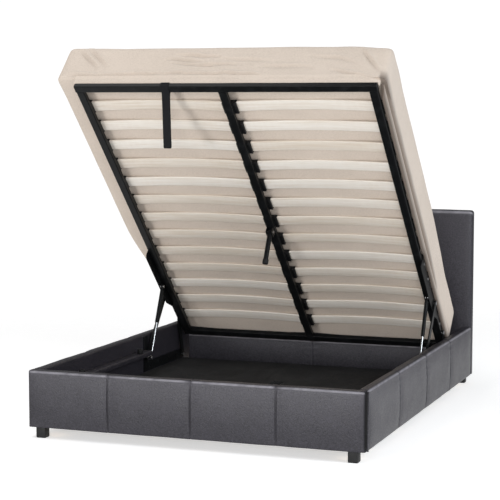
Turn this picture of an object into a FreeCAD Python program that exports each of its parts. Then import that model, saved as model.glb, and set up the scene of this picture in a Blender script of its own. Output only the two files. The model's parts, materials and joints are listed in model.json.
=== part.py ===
import FreeCAD, Part

import math
import os
import re

import Sketcher
from FreeCAD import Placement, Rotation, Vector

# King size ottoman bed with the slatted platform raised on its gas struts.
# Lengths along the bed run from the front face of the foot rail, heights from the floor.
# Lengths along the platform run from its foot end, drops from the top of its tubes.
DIMENSIONS = {
    # base
    "base_width": 1650,
    "base_length": 2200,
    "foot_height": 52,
    "foot_side": 46,
    "foot_inset": 35,
    "foot_lead": 10,
    "rail_height": 268,
    "side_rail_thickness": 45,
    "foot_rail_thickness": 50,
    "cover_wall": 4,
    "cover_round": 6,
    "seam_width": 3,
    "seam_depth": 2,
    "headboard_height": 922,
    "headboard_thickness": 65,
    "headboard_pad": 8,
    "headboard_round": 20,
    "divider_back": 400,
    "divider_thickness": 25,
    "divider_bottom": 60,
    "divider_top": 246,
    "divider_end_gap": 32,
    "divider_wall": 4,
    "floor_top": 113,
    "floor_thickness": 6,
    "floor_end_gap": 1,
    "bearer_side": 45,
    "block_side": 90,
    "landing_lead": 41,
    "landing_width": 190,
    "landing_thickness": 20,
    "leg_slot_width": 62,
    "leg_slot_lead": 36,
    "leg_slot_length": 180,
    "batten_width": 60,
    "batten_thickness": 26,
    "batten_top": 240,
    "batten_back": 978,
    "angle_leg": 60,
    "angle_height": 80,
    "angle_bottom": 125,
    "angle_thickness": 3,
    "bolt_radius": 7,
    "bolt_head": 3,
    # platform
    "open_tilt": 45,
    "open_head_gap": 406,
    "open_head_height": 270,
    "closed_deck_height": 292,
    "frame_side_gap": 22.5,
    "frame_foot_gap": 66,
    "frame_head_gap": 154,
    "tube_width": 40,
    "tube_depth": 25,
    "tube_wall": 2,
    "tube_round": 4,
    "cap_flange": 2,
    "cap_plug": 14,
    "slat_foot_gap": 172,
    "slat_head_gap": 146,
    "slat_width": 63,
    "slat_thickness": 8,
    "slat_bow": 14,
    "slat_end_inset": 10.5,
    "slat_middle_gap": 8,
    "slat_seat": 11,
    "holder_length": 35.5,
    "holder_width": 70,
    "holder_height": 26,
    "holder_floor": 10.7,
    "holder_mouth": 11.6,
    "holder_clearance": 0.4,
    "holder_end_gap": 1.2,
    "middle_holder_length": 72,
    "bumper_radius": 15,
    "bumper_height": 26,
    # lifting mechanism
    "upper_plate_thickness": 4,
    "upper_plate_length": 700,
    "upper_plate_step": 400,
    "upper_plate_taper": 480,
    "upper_plate_depth": 66,
    "upper_plate_tail": 27,
    "upper_plate_round": 24,
    "lower_plate_thickness": 5,
    "lower_plate_lead": 22,
    "lower_plate_length": 556,
    "lower_plate_bottom": 118,
    "lower_plate_height": 54,
    "lower_post_width": 48,
    "lower_post_height": 194,
    "arm_thickness": 6,
    "arm_gap": 3.5,
    "front_arm_width": 32,
    "rear_arm_width": 30,
    "pivot_drop": 12.5,
    "front_pivot_back": 375,
    "front_base_height": 194.3,
    "rear_pivot_back": 120,
    "rear_base_height": 140,
    "journal_radius": 5,
    "collar_radius": 8,
    "pin_head_radius": 9,
    "pin_head": 2.5,
    "end_play": 0.3,
    "running_clearance": 0.05,
    "strut_pivot_back": 473,
    "strut_pivot_drop": 53,
    "strut_inset": 11.5,
    "strut_eye_width": 12,
    "strut_eye_radius": 11,
    "strut_rod_radius": 5,
    "strut_rod_length": 245,
    "strut_cylinder_radius": 10,
    "strut_cylinder_length": 186,
    "strut_neck_length": 22,
    "strut_neck_radius": 6,
    "strut_bore_length": 150,
    # drop leg
    "leg_pivot_drop": 43,
    "leg_tilt": 19,
    "leg_reach": 176,
    "leg_radius": 12.5,
    "leg_wall": 2,
    "leg_rise": 7.5,
    "leg_cap_radius": 15,
    "leg_cap_height": 24,
    "leg_cap_floor": 4,
    "leg_bolt_radius": 4,
    "cheek_gap": 13.5,
    "cheek_thickness": 3,
    "cheek_length": 44,
    "cheek_depth": 36,
    # strap and mattress
    "strap_place": 285,
    "strap_width": 42,
    "strap_thickness": 2.5,
    "strap_tail": 265,
    "mattress_height": 240,
    "mattress_foot_gap": 3,
    "mattress_overrun": 13,
    "mattress_seat": 33.3,
    "mattress_edge_gap": 6,
    "mattress_bulge": 44,
    "mattress_corner": 60,
    "mattress_tuck": 20,
    "mattress_draw": 9,
    "mattress_crown": 140,
    "mattress_padding": 18,
}
RAIL_PANELS = 4
DIVIDER_PANELS = 2
SLAT_ROWS = 13
BUMPER_SHARES = (0.167, 0.52)
LEG_SHARE = 0.5177
LOWER_BOLT_SHARES = (0.15, 0.38, 0.62, 0.8)
BEARER_SHARES = (0.16, 0.4, 0.81, 1)
ANGLE_BOLT_LEVELS = (0.25, 0.75)
ANGLE_BOLT_REACH = 0.6
FRAME_WIDTH = "(base_width - 2 * side_rail_thickness - 2 * frame_side_gap)"
FRAME_LENGTH = "(base_length - frame_foot_gap - frame_head_gap)"
DIVIDER_FRONT = "(base_length - divider_back)"
SIDES = {"left": -1, "right": 1}
ENDS = {"foot": 1, "head": -1}

doc = FreeCAD.newDocument("ottoman_bed")
sheet = doc.addObject("Spreadsheet::Sheet", "sizes")
for row, (alias, value) in enumerate(DIMENSIONS.items(), 1):
    sheet.set(f"A{row}", alias)
    sheet.set(f"B{row}", str(value))
    sheet.setAlias(f"B{row}", alias)
doc.recompute()

nodes = []


def size(alias):
    return float(getattr(sheet, alias))


def bind(item, **formulas):
    """Binds properties to formulas in the sheet's aliases, which all hold an underscore."""
    for name, text in formulas.items():
        item.setExpression(name, re.sub(r"\b([a-z]+(?:_[a-z]+)+)\b", r"sizes.\1", text))


def node(name, item, placement=None):
    """Marks an object as one of the bed's pieces."""
    item.Label = name
    if placement is not None:
        item.Placement = placement
    nodes.append(item)
    return item


def at(across, along, height):
    """Point of the base, moved so that the bed stands on its middle."""
    return Vector(across, along - size("base_length") / 2, height)


def box(name, length, width, height, corner):
    solid = doc.addObject("Part::Box", name)
    bind(solid, Length=length, Width=width, Height=height)
    solid.Placement = Placement(corner, Rotation())
    return solid


def rod(name, radius, height, start, direction):
    solid = doc.addObject("Part::Cylinder", name)
    bind(solid, Radius=radius, Height=height)
    solid.Placement = Placement(start, Rotation(Vector(0, 0, 1), direction))
    return solid


def cross_rod(name, radius, side, inner, outer, along, height):
    """Round bar across the bed, from its inner to its outer distance on one side."""
    solid = doc.addObject("Part::Cylinder", name)
    bind(solid, Radius=radius)
    solid.Height = outer - inner
    start = inner if side > 0 else -outer
    solid.Placement = Placement(Vector(start, along, height), Rotation(Vector(0, 1, 0), 90))
    return solid


def cut(name, base, tool):
    item = doc.addObject("Part::Cut", name)
    item.Base = base
    item.Tool = tool
    return item


def fuse(name, items):
    item = doc.addObject("Part::MultiFuse", name)
    item.Shapes = items
    return item


def group(name, items):
    item = doc.addObject("Part::Compound", name)
    item.Links = items
    return item


def rounded(name, base, radius, chosen):
    doc.recompute()
    item = doc.addObject("Part::Fillet", name)
    item.Base = base
    edges = enumerate(base.Shape.Edges, 1)
    item.Edges = [(index, size(radius), size(radius)) for index, edge in edges if chosen(edge)]
    return item


def span(edge):
    return edge.lastVertex().Point - edge.firstVertex().Point


def origin_plane(body, role):
    return next(item for item in body.Origin.OriginFeatures if item.Role == role)


def profile(body, name, corners):
    """Closed outline of straight lines; each corner is a pair of aliases, or 0 on an axis."""
    sketch = body.newObject("Sketcher::SketchObject", name)
    sketch.AttachmentSupport = (origin_plane(body, "XY_Plane"), [""])
    sketch.MapMode = "FlatFace"
    points = [Vector(*(size(alias) if alias else 0 for alias in corner), 0) for corner in corners]
    for start, end in zip(points, points[1:] + points[:1]):
        sketch.addGeometry(Part.LineSegment(start, end), False)
    for index, corner in enumerate(corners):
        following = (index + 1) % len(corners)
        sketch.addConstraint(Sketcher.Constraint("Coincident", index, 2, following, 1))
        for kind, axis, alias in (("DistanceX", -2, corner[0]), ("DistanceY", -1, corner[1])):
            if not alias:
                sketch.addConstraint(Sketcher.Constraint("PointOnObject", index, 1, axis))
                continue
            place = sketch.addConstraint(Sketcher.Constraint(kind, -1, 1, index, 1, size(alias)))
            bind(sketch, **{f"Constraints[{place}]": alias})
    return sketch


def pad(body, sketch, length):
    feature = body.newObject("PartDesign::Pad", sketch.Name + "_pad")
    feature.Profile = sketch
    bind(feature, Length=length)
    doc.recompute()
    return feature


def round_corners(body, feature, radius, chosen):
    fillet = body.newObject("PartDesign::Fillet", feature.Name + "_round")
    edges = enumerate(feature.Shape.Edges, 1)
    fillet.Base = (feature, [f"Edge{index}" for index, edge in edges if chosen(edge)])
    bind(fillet, Radius=radius)
    doc.recompute()
    return fillet


def upright(edge):
    direction = span(edge)
    return abs(direction.z) > 0.99 * direction.Length


def tube(name, first, second, length, placement):
    """Square tube with rounded corners: outer sides first and second, then its length."""
    body = doc.addObject("PartDesign::Body", name)
    outline = profile(body, name + "_outline", [(None, None), (first, None), (first, second), (None, second)])
    shell = pad(body, outline, length)
    rounding = round_corners(body, shell, "tube_round", upright)
    solid_volume = rounding.Shape.Volume
    hollow = body.newObject("Sketcher::SketchObject", name + "_hollow")
    hollow.AttachmentSupport = (origin_plane(body, "XY_Plane"), [""])
    hollow.MapMode = "FlatFace"
    wall = size("tube_wall")
    low, high = Vector(wall, wall, 0), Vector(size(first) - wall, size(second) - wall, 0)
    corners = [low, Vector(high.x, low.y, 0), high, Vector(low.x, high.y, 0)]
    for start, end in zip(corners, corners[1:] + corners[:1]):
        hollow.addGeometry(Part.LineSegment(start, end), False)
    for index in range(4):
        hollow.addConstraint(Sketcher.Constraint("Coincident", index, 2, (index + 1) % 4, 1))
        hollow.addConstraint(Sketcher.Constraint("Vertical" if index % 2 else "Horizontal", index))
    for kind, line, text in (
        ("DistanceX", 0, f"{first} - 2 * tube_wall"),
        ("DistanceY", 1, f"{second} - 2 * tube_wall"),
    ):
        side = span(hollow.Geometry[line].toShape()).Length
        place = hollow.addConstraint(Sketcher.Constraint(kind, line, 1, line, 2, side))
        bind(hollow, **{f"Constraints[{place}]": text})
    for kind in ("DistanceX", "DistanceY"):
        place = hollow.addConstraint(Sketcher.Constraint(kind, -1, 1, 0, 1, wall))
        bind(hollow, **{f"Constraints[{place}]": "tube_wall"})
    bore = body.newObject("PartDesign::Pocket", name + "_bore")
    bore.Profile = hollow
    bore.Type = "ThroughAll"
    bore.Reversed = True
    doc.recompute()
    if bore.Shape.Volume > 0.5 * solid_volume:
        raise RuntimeError(name + " is not hollow")
    return node(name, body, placement)


def plate(name, corners, thickness, radius, chosen, placement):
    """Flat plate of one outline, with the chosen upright corners rounded."""
    body = doc.addObject("PartDesign::Body", name)
    shell = pad(body, profile(body, name + "_outline", corners), thickness)
    round_corners(body, shell, radius, lambda edge: upright(edge) and chosen(edge.CenterOfMass))
    return node(name, body, placement)


# The raised platform and the two ends of its travel
half_base = size("base_width") / 2
rail_inside = half_base - size("side_rail_thickness")
rail_top = size("foot_height") + size("rail_height")
frame_half = rail_inside - size("frame_side_gap")
frame_length = size("base_length") - size("frame_foot_gap") - size("frame_head_gap")
divider_front = size("base_length") - size("divider_back")
raised_turn = Rotation(Vector(1, 0, 0), -size("open_tilt"))
raised_head = at(0, size("base_length") - size("open_head_gap"), size("open_head_height"))
platform = Placement(raised_head - raised_turn.multVec(Vector(0, frame_length, 0)), raised_turn)
closed = Placement(at(0, size("frame_foot_gap"), size("closed_deck_height")), Rotation())


def on_platform(back, drop):
    """Point of the platform by its distance from the head end and its drop."""
    return Vector(0, frame_length - size(back), -size(drop))


def base_pivot(point, height):
    """Point of the base as far from the raised pivot as from the lowered one."""
    raised = platform.multVec(point)
    lowered = closed.multVec(point)
    middle = (raised + lowered) / 2
    travel = lowered - raised
    share = (height - middle.z) / travel.y
    return Vector(0, middle.y - share * travel.z, height)


front_pivot = on_platform("front_pivot_back", "pivot_drop")
rear_pivot = on_platform("rear_pivot_back", "pivot_drop")
front_top = platform.multVec(front_pivot)
rear_top = platform.multVec(rear_pivot)
strut_top = platform.multVec(on_platform("strut_pivot_back", "strut_pivot_drop"))
front_base = base_pivot(front_pivot, size("front_base_height"))
rear_base = base_pivot(rear_pivot, size("rear_base_height"))
leg_along = LEG_SHARE * frame_length
leg_place = size("frame_foot_gap") + leg_along

# Layers across the bed on each side: upper plate, arms, lower plate, rail
plate_outside = frame_half + size("upper_plate_thickness")
arm_inside = plate_outside + size("arm_gap")
arm_outside = arm_inside + size("arm_thickness")
lower_plate_inside = rail_inside - size("lower_plate_thickness")
strut_inside = frame_half - size("strut_inset") - size("strut_eye_width") / 2
strut_outside = strut_inside + size("strut_eye_width")
play = size("end_play")


def lateral(side, inner, outer):
    return inner if side > 0 else -outer


def seamed_cover(name, outside, corner, wall, radius, panels, along_x):
    """Leather cover round a board: open below, rounded, with sewn grooves between its panels."""
    length, width, height = outside
    block = box(name + "_block", *outside, corner)
    shell = rounded(name + "_round", block, radius, lambda edge: edge.CenterOfMass.z > corner.z + 1)
    inset = Vector(size(wall), size(wall), -1)
    room = box(
        name + "_room",
        f"{length} - 2 * {wall}",
        f"{width} - 2 * {wall}",
        f"{height} - {wall} + 1",
        corner + inset,
    )
    hollow = cut(name + "_hollow", shell, room)
    doc.recompute()
    bounds = shell.Shape.BoundBox
    run = bounds.XLength if along_x else bounds.YLength
    depth = size("seam_depth")
    core = box(
        name + "_core",
        f"{length} - 2 * seam_depth",
        f"{width} - 2 * seam_depth",
        f"{height} - seam_depth",
        corner + Vector(depth, depth, 0),
    )
    slices = []
    for seam in range(1, panels):
        reach = run * seam / panels - size("seam_width") / 2
        if along_x:
            start = corner + Vector(reach, -1, -1)
            sides = ("seam_width", f"{width} + 2", f"{height} + 2")
        else:
            start = corner + Vector(-1, reach, -1)
            sides = (f"{length} + 2", "seam_width", f"{height} + 2")
        slices.append(box(f"{name}_seam_{seam}", *sides, start))
    if not slices:
        return node(name, hollow)
    grooves = cut(name + "_grooves", group(name + "_slices", slices), core)
    return node(name, cut(name + "_sewn", hollow, grooves))


def board(name, outside, corner, wall):
    """Board that fills the room under a cover."""
    length, width, height = outside
    inset = Vector(size(wall), size(wall), 0)
    sides = (f"{length} - 2 * {wall}", f"{width} - 2 * {wall}", f"{height} - {wall}")
    return node(name, box(name + "_solid", *sides, corner + inset))


# Foot rail, side rails and headboard
foot_rail = ("base_width", "foot_rail_thickness", "rail_height")
foot_corner = at(-half_base, 0, size("foot_height"))
board("foot_rail_board", foot_rail, foot_corner, "cover_wall")
seamed_cover("foot_rail_cover", foot_rail, foot_corner, "cover_wall", "cover_round", RAIL_PANELS, True)

side_rail = (
    "side_rail_thickness",
    "base_length - foot_rail_thickness - headboard_thickness",
    "rail_height",
)
side_front = size("foot_rail_thickness")
side_rear = size("base_length") - size("headboard_thickness")
for label, side in SIDES.items():
    corner = at(lateral(side, rail_inside, half_base), side_front, size("foot_height"))
    bracketed = (side_rail[0], f"({side_rail[1]})", side_rail[2])
    board(f"side_rail_board_{label}", bracketed, corner, "cover_wall")
    seamed_cover(f"side_rail_cover_{label}", bracketed, corner, "cover_wall", "cover_round", RAIL_PANELS, False)

headboard = ("base_width", "headboard_thickness", "headboard_height")
head_corner = at(-half_base, side_rear, size("foot_height"))
board("headboard_panel", headboard, head_corner, "headboard_pad")
seamed_cover("headboard_cover", headboard, head_corner, "headboard_pad", "headboard_round", RAIL_PANELS, True)

# Divider between the storage well and the mechanism's head end
divider = (
    "(base_width - 2 * side_rail_thickness - 2 * divider_end_gap)",
    "divider_thickness",
    "(divider_top - divider_bottom)",
)
divider_half = rail_inside - size("divider_end_gap")
divider_corner = at(-divider_half, divider_front, size("divider_bottom"))
board("divider_board", divider, divider_corner, "divider_wall")
seamed_cover("divider_cover", divider, divider_corner, "divider_wall", "seam_depth", DIVIDER_PANELS, True)

# Floor panels, notched round the drop leg, on their bearers
for label, side in SIDES.items():
    start = lateral(side, size("floor_end_gap"), rail_inside)
    level = size("floor_top") - size("floor_thickness")
    panel = box(
        f"storage_floor_{label}_sheet",
        "base_width / 2 - side_rail_thickness - floor_end_gap",
        f"{DIVIDER_FRONT} - foot_rail_thickness",
        "floor_thickness",
        at(start, side_front, level),
    )
    slot = box(
        f"storage_floor_{label}_slot",
        "leg_slot_width",
        "leg_slot_length",
        "floor_thickness + 2",
        at(-size("leg_slot_width") / 2, leg_place - size("leg_slot_lead"), level - 1),
    )
    node(f"storage_floor_{label}", cut(f"storage_floor_{label}_notched", panel, slot))

bearer_bottom = size("floor_top") - size("floor_thickness") - size("bearer_side")
clear_width = "base_width - 2 * side_rail_thickness"
last_bearer = divider_front - size("bearer_side")
bearers = []
for row, share in enumerate(BEARER_SHARES, 1):
    corner = at(-rail_inside, share * last_bearer, bearer_bottom)
    bearers.append(box(f"bearer_{row}", clear_width, "bearer_side", "bearer_side", corner))
node("floor_bearers", group("floor_bearer_set", bearers))
node(
    "leg_landing_board",
    box(
        "landing",
        clear_width,
        "landing_width",
        "landing_thickness",
        at(-rail_inside, leg_place - size("landing_lead"), size("foot_height")),
    ),
)

batten_length = "base_length - foot_rail_thickness - batten_back"
for label, side in SIDES.items():
    inner = rail_inside - size("batten_width")
    corner = at(lateral(side, inner, rail_inside), side_front, size("batten_top") - size("batten_thickness"))
    node(
        f"side_batten_{label}",
        box(f"batten_{label}", "batten_width", batten_length, "batten_thickness", corner),
    )

bumpers = []
for label, side in SIDES.items():
    for share in BUMPER_SHARES:
        across = side * (frame_half - size("tube_width") / 2)
        along = size("frame_foot_gap") + share * frame_length
        seat = at(across, along, size("batten_top"))
        bumpers.append(
            rod(f"bumper_{label}_{share:.0%}", "bumper_radius", "bumper_height", seat, Vector(0, 0, 1))
        )
node("rest_bumpers", group("rest_bumper_set", bumpers))

# Corner blocks, angle brackets, bolts and feet
blocks = []
angles = []
angle_bolts = []
block_height = "floor_top - floor_thickness - foot_height"
for end, inward in ENDS.items():
    wall = side_front if inward > 0 else side_rear
    for label, side in SIDES.items():
        name = f"{end}_{label}"
        block_side = size("block_side")
        across = lateral(side, rail_inside - block_side, rail_inside)
        along = wall if inward > 0 else wall - block_side
        block_corner = at(across, along, size("foot_height"))
        blocks.append(box(f"block_{name}", "block_side", "block_side", block_height, block_corner))
        leg = size("angle_leg")
        sheet_depth = size("angle_thickness")
        across = lateral(side, rail_inside - sheet_depth, rail_inside)
        along = wall if inward > 0 else wall - leg
        flank = box(
            f"angle_flank_{name}",
            "angle_thickness",
            "angle_leg",
            "angle_height",
            at(across, along, size("angle_bottom")),
        )
        across = lateral(side, rail_inside - leg, rail_inside)
        along = wall if inward > 0 else wall - sheet_depth
        front = box(
            f"angle_front_{name}",
            "angle_leg",
            "angle_thickness",
            "angle_height",
            at(across, along, size("angle_bottom")),
        )
        angles.append(fuse(f"angle_{name}", [flank, front]))
        for level in ANGLE_BOLT_LEVELS:
            height = size("angle_bottom") + level * size("angle_height")
            reach = ANGLE_BOLT_REACH * leg
            flank_seat = at(side * (rail_inside - sheet_depth), wall + inward * reach, height)
            front_seat = at(side * (rail_inside - reach), wall + inward * sheet_depth, height)
            for face, seat, way in (
                ("flank", flank_seat, Vector(-side, 0, 0)),
                ("front", front_seat, Vector(0, inward, 0)),
            ):
                bolt_name = f"{face}_bolt_{name}_{level:.0%}"
                angle_bolts.append(rod(bolt_name, "bolt_radius", "bolt_head", seat, way))
        foot_side = size("foot_side")
        outer = half_base - size("foot_inset")
        lead = size("foot_lead")
        along = lead if inward > 0 else size("base_length") - lead - foot_side
        node(
            f"{end}_end_foot_{label}",
            box(
                f"leg_block_{name}",
                "foot_side",
                "foot_side",
                "foot_height",
                at(lateral(side, outer - foot_side, outer), along, 0),
            ),
        )
node("corner_blocks", group("corner_block_set", blocks))
node("corner_brackets", group("corner_bracket_set", angles))
node("corner_bolts", group("corner_bolt_set", angle_bolts))

# Platform tubes: two bars across, two side tubes and the centre rail between them
across_bed = Rotation(Vector(0, 1, 0), 90)
along_bed = Rotation(Vector(1, 0, 0), -90)
bar_places = {"foot_bar": 0, "head_bar": frame_length - size("tube_width")}
for name, along in bar_places.items():
    seat = Placement(Vector(-frame_half, along, 0), across_bed)
    tube(name, "tube_depth", "tube_width", FRAME_WIDTH, platform.multiply(seat))
tube_starts = {
    "side_tube_left": -frame_half,
    "centre_rail": -size("tube_width") / 2,
    "side_tube_right": frame_half - size("tube_width"),
}
for name, across in tube_starts.items():
    seat = Placement(Vector(across, size("tube_width"), 0), along_bed)
    tube(name, "tube_width", "tube_depth", f"{FRAME_LENGTH} - 2 * tube_width", platform.multiply(seat))

caps = []
for bar, along in bar_places.items():
    for label, side in SIDES.items():
        name = f"{bar}_{label}"
        flange_start = lateral(side, frame_half, frame_half + size("cap_flange"))
        flange = box(
            f"cap_flange_{name}",
            "cap_flange",
            "tube_width",
            "tube_depth",
            Vector(flange_start, along, -size("tube_depth")),
        )
        soft_flange = rounded(
            f"cap_round_{name}", flange, "tube_round", lambda edge: abs(span(edge).x) > 0.9 * edge.Length
        )
        gap = size("tube_wall") + play
        plug_start = lateral(side, frame_half - size("cap_plug"), frame_half)
        plug = box(
            f"cap_plug_{name}",
            "cap_plug",
            "tube_width - 2 * tube_wall - 2 * end_play",
            "tube_depth - 2 * tube_wall - 2 * end_play",
            Vector(plug_start, along + gap, gap - size("tube_depth")),
        )
        caps.append(fuse(f"cap_{name}", [soft_flange, plug]))
node("tube_end_caps", group("tube_end_cap_set", caps), platform)

# Bowed slats, each a strip between two round faces, in holders on the tubes
slat_reach = frame_half - size("slat_end_inset")
chord = slat_reach - size("slat_middle_gap")
bow = size("slat_bow")
under_radius = chord**2 / (8 * bow) + bow / 2
half_angle = math.degrees(math.asin(chord / (2 * under_radius)))
slat_pitch = (frame_length - size("slat_foot_gap") - size("slat_head_gap")) / (SLAT_ROWS - 1)
slat_rows = [size("slat_foot_gap") + row * slat_pitch for row in range(SLAT_ROWS)]


def slat(name, side, along):
    middle = side * (slat_reach + size("slat_middle_gap")) / 2
    centre = Vector(middle, along + size("slat_width") / 2, size("slat_seat") + bow - under_radius)
    strips = []
    for part, extra in (("crown", "+ slat_thickness"), ("hollow", "")):
        wedge = doc.addObject("Part::Cylinder", f"{name}_{part}")
        chord_text = f"({FRAME_WIDTH} / 2 - slat_end_inset - slat_middle_gap)"
        bind(
            wedge,
            Radius=f"{chord_text} * {chord_text} / (8 * slat_bow) + slat_bow / 2 {extra}",
            Height="slat_width",
        )
        wedge.Angle = 2 * half_angle
        turn = Rotation(Vector(1, 0, 0), 90).multiply(Rotation(Vector(0, 0, 1), 90 - half_angle))
        wedge.Placement = Placement(centre, turn)
        strips.append(wedge)
    return cut(name, *strips)


def holder(name, length, start, pockets, along):
    """Plastic holder on a tube with a pocket for each slat end."""
    block = box(
        name + "_block",
        length,
        "holder_width",
        "holder_height",
        Vector(start, along - size("holder_width") / 2, 0),
    )
    width = size("slat_width") + 2 * size("holder_clearance")
    for side, pocket in enumerate(pockets):
        room = box(
            f"{name}_pocket_{side}",
            f"{length}",
            "slat_width + 2 * holder_clearance",
            "holder_mouth",
            Vector(pocket, along - width / 2, size("holder_floor")),
        )
        block = cut(f"{name}_open_{side}", block, room)
    return block


for label, side in SIDES.items():
    slats = [slat(f"slat_{label}_{row}", side, along) for row, along in enumerate(slat_rows, 1)]
    node(f"slats_{label}", group(f"slat_set_{label}", slats), platform)
    length = size("holder_length")
    start = lateral(side, frame_half - length, frame_half)
    mouth = slat_reach + size("holder_end_gap")
    pocket = lateral(side, mouth - length, mouth)
    holders = [
        holder(f"holder_{label}_{row}", "holder_length", start, [pocket], along)
        for row, along in enumerate(slat_rows, 1)
    ]
    node(f"slat_holders_{label}", group(f"holder_set_{label}", holders), platform)

middle_length = size("middle_holder_length")
mouth = size("slat_middle_gap") - size("holder_end_gap")
middle_holders = [
    holder(
        f"holder_middle_{row}",
        "middle_holder_length",
        -middle_length / 2,
        [mouth, -mouth - middle_length],
        along,
    )
    for row, along in enumerate(slat_rows, 1)
]
node("slat_holders_centre", group("holder_set_centre", middle_holders), platform)

# Bracket plates of the lifting mechanism and their bolts
upper_corners = [
    (None, None),
    (None, "upper_plate_depth"),
    ("upper_plate_step", "upper_plate_depth"),
    ("upper_plate_taper", "upper_plate_tail"),
    ("upper_plate_length", "upper_plate_tail"),
    ("upper_plate_length", None),
]
lower_corners = [
    (None, None),
    ("lower_plate_length", None),
    ("lower_plate_length", "lower_plate_height"),
    ("lower_post_width", "lower_plate_height"),
    ("lower_post_width", "lower_post_height"),
    (None, "lower_post_height"),
]
plate_down = Rotation(Vector(0, 1, 0), Vector(0, 0, -1), Vector(-1, 0, 0), "XYZ")
plate_up = Rotation(Vector(0, 1, 0), Vector(0, 0, 1), Vector(1, 0, 0), "XYZ")
upper_bolts = []
lower_bolts = []
rear_edge = frame_length - size("tube_width")
front_edge = rear_edge - size("upper_plate_length")
lower_corner = Vector(0, front_base.y - size("lower_plate_lead"), size("lower_plate_bottom"))
upper_bolt_steps = [(front_edge, 1), (front_edge, 4), (rear_edge, -4), (rear_edge, -1)]
for label, side in SIDES.items():
    start = plate_outside if side > 0 else -frame_half
    plate(
        f"upper_bracket_{label}",
        upper_corners,
        "upper_plate_thickness",
        "upper_plate_round",
        lambda corner: corner.x < 1 < corner.y,
        platform.multiply(Placement(Vector(start, front_edge, 0), plate_down)),
    )
    plate(
        f"lower_bracket_{label}",
        lower_corners,
        "lower_plate_thickness",
        "collar_radius",
        lambda corner: corner.y > size("lower_plate_height") + 1,
        Placement(lower_corner + Vector(lateral(side, lower_plate_inside, rail_inside), 0, 0), plate_up),
    )
    edge_gap = 2 * size("collar_radius") + size("upper_plate_round")
    places = [edge + steps * edge_gap for edge, steps in upper_bolt_steps]
    for row, place in enumerate(places, 1):
        seat = platform.multVec(Vector(0, place, -size("pivot_drop")))
        outer = plate_outside + size("bolt_head")
        name = f"upper_bolt_{label}_{row}"
        upper_bolts.append(cross_rod(name, "bolt_radius", side, plate_outside, outer, seat.y, seat.z))
    for share in LOWER_BOLT_SHARES:
        reach = share * size("lower_plate_length")
        seat = lower_corner + Vector(0, reach, size("lower_plate_height") / 2)
        inner = lower_plate_inside - size("bolt_head")
        name = f"lower_bolt_{label}_{share:.0%}"
        lower_bolts.append(cross_rod(name, "bolt_radius", side, inner, lower_plate_inside, seat.y, seat.z))
node("upper_bracket_bolts", group("upper_bolt_set", upper_bolts))
node("lower_bracket_bolts", group("lower_bolt_set", lower_bolts))


def stepped_pins(name, centre, steps):
    """Pair of turned pins across the bed; each step gives a radius and its two ends."""
    pins = []
    for label, side in SIDES.items():
        turns = [
            cross_rod(f"{name}_{label}_{turn}", radius, side, inner, outer, centre.y, centre.z)
            for turn, (radius, inner, outer) in enumerate(steps, 1)
        ]
        pins.append(fuse(f"{name}_{label}", turns))
    return node(name, group(name + "_set", pins))


head = size("pin_head")
stepped_pins(
    "upper_pivot_studs",
    front_top,
    [
        ("collar_radius", plate_outside, arm_inside - play),
        ("journal_radius", arm_inside - play, arm_outside + play),
        ("pin_head_radius", arm_outside + play, arm_outside + play + head),
    ],
)
stepped_pins(
    "front_pivot_pins",
    front_base,
    [
        ("collar_radius", arm_outside + play, lower_plate_inside),
        ("journal_radius", arm_inside - play, arm_outside + play),
        ("collar_radius", strut_outside + play, arm_inside - play),
        ("journal_radius", strut_inside - play, strut_outside + play),
        ("pin_head_radius", strut_inside - play - head, strut_inside - play),
    ],
)
stepped_pins(
    "rear_pivot_pins",
    rear_base,
    [
        ("collar_radius", arm_outside + play, lower_plate_inside),
        ("journal_radius", arm_inside - play, arm_outside + play),
        ("pin_head_radius", arm_inside - play - head, arm_inside - play),
    ],
)
stepped_pins(
    "rear_arm_bolts",
    rear_top,
    [
        ("pin_head_radius", plate_outside + play, arm_inside),
        ("journal_radius", arm_inside, arm_outside),
        ("pin_head_radius", arm_outside, arm_outside + head),
    ],
)
stepped_pins(
    "strut_top_studs",
    strut_top,
    [
        ("collar_radius", strut_inside - head, strut_inside),
        ("journal_radius", strut_inside, strut_outside),
        ("collar_radius", strut_outside, frame_half - play),
    ],
)


def arm(name, width, start, end, side):
    """Flat bar with round ends and a running hole at each."""
    run = end - start
    along = run / run.Length
    turn = Rotation(Vector(1, 0, 0), along, along.cross(Vector(-1, 0, 0)), "XYZ")
    corner = Vector(lateral(side, arm_inside, arm_outside), start.y, start.z)
    bar = doc.addObject("Part::Box", name + "_bar")
    bind(bar, Length="arm_thickness", Height=width)
    bar.Width = run.Length
    bar.Placement = Placement(corner - turn.multVec(Vector(0, 0, size(width) / 2)), turn)
    rounds = [
        cross_rod(f"{name}_end_{index}", f"{width} / 2", side, arm_inside, arm_outside, place.y, place.z)
        for index, place in enumerate((start, end))
    ]
    holes = [
        cross_rod(
            f"{name}_hole_{index}",
            "journal_radius + running_clearance",
            side,
            arm_inside - 1,
            arm_outside + 1,
            place.y,
            place.z,
        )
        for index, place in enumerate((start, end))
    ]
    body = fuse(name + "_body", [bar, *rounds])
    return node(name, cut(name + "_bored", body, group(name + "_holes", holes)))


for label, side in SIDES.items():
    arm(f"front_arm_{label}", "front_arm_width", front_base, front_top, side)
    arm(f"rear_arm_{label}", "rear_arm_width", rear_base, rear_top, side)

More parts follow.
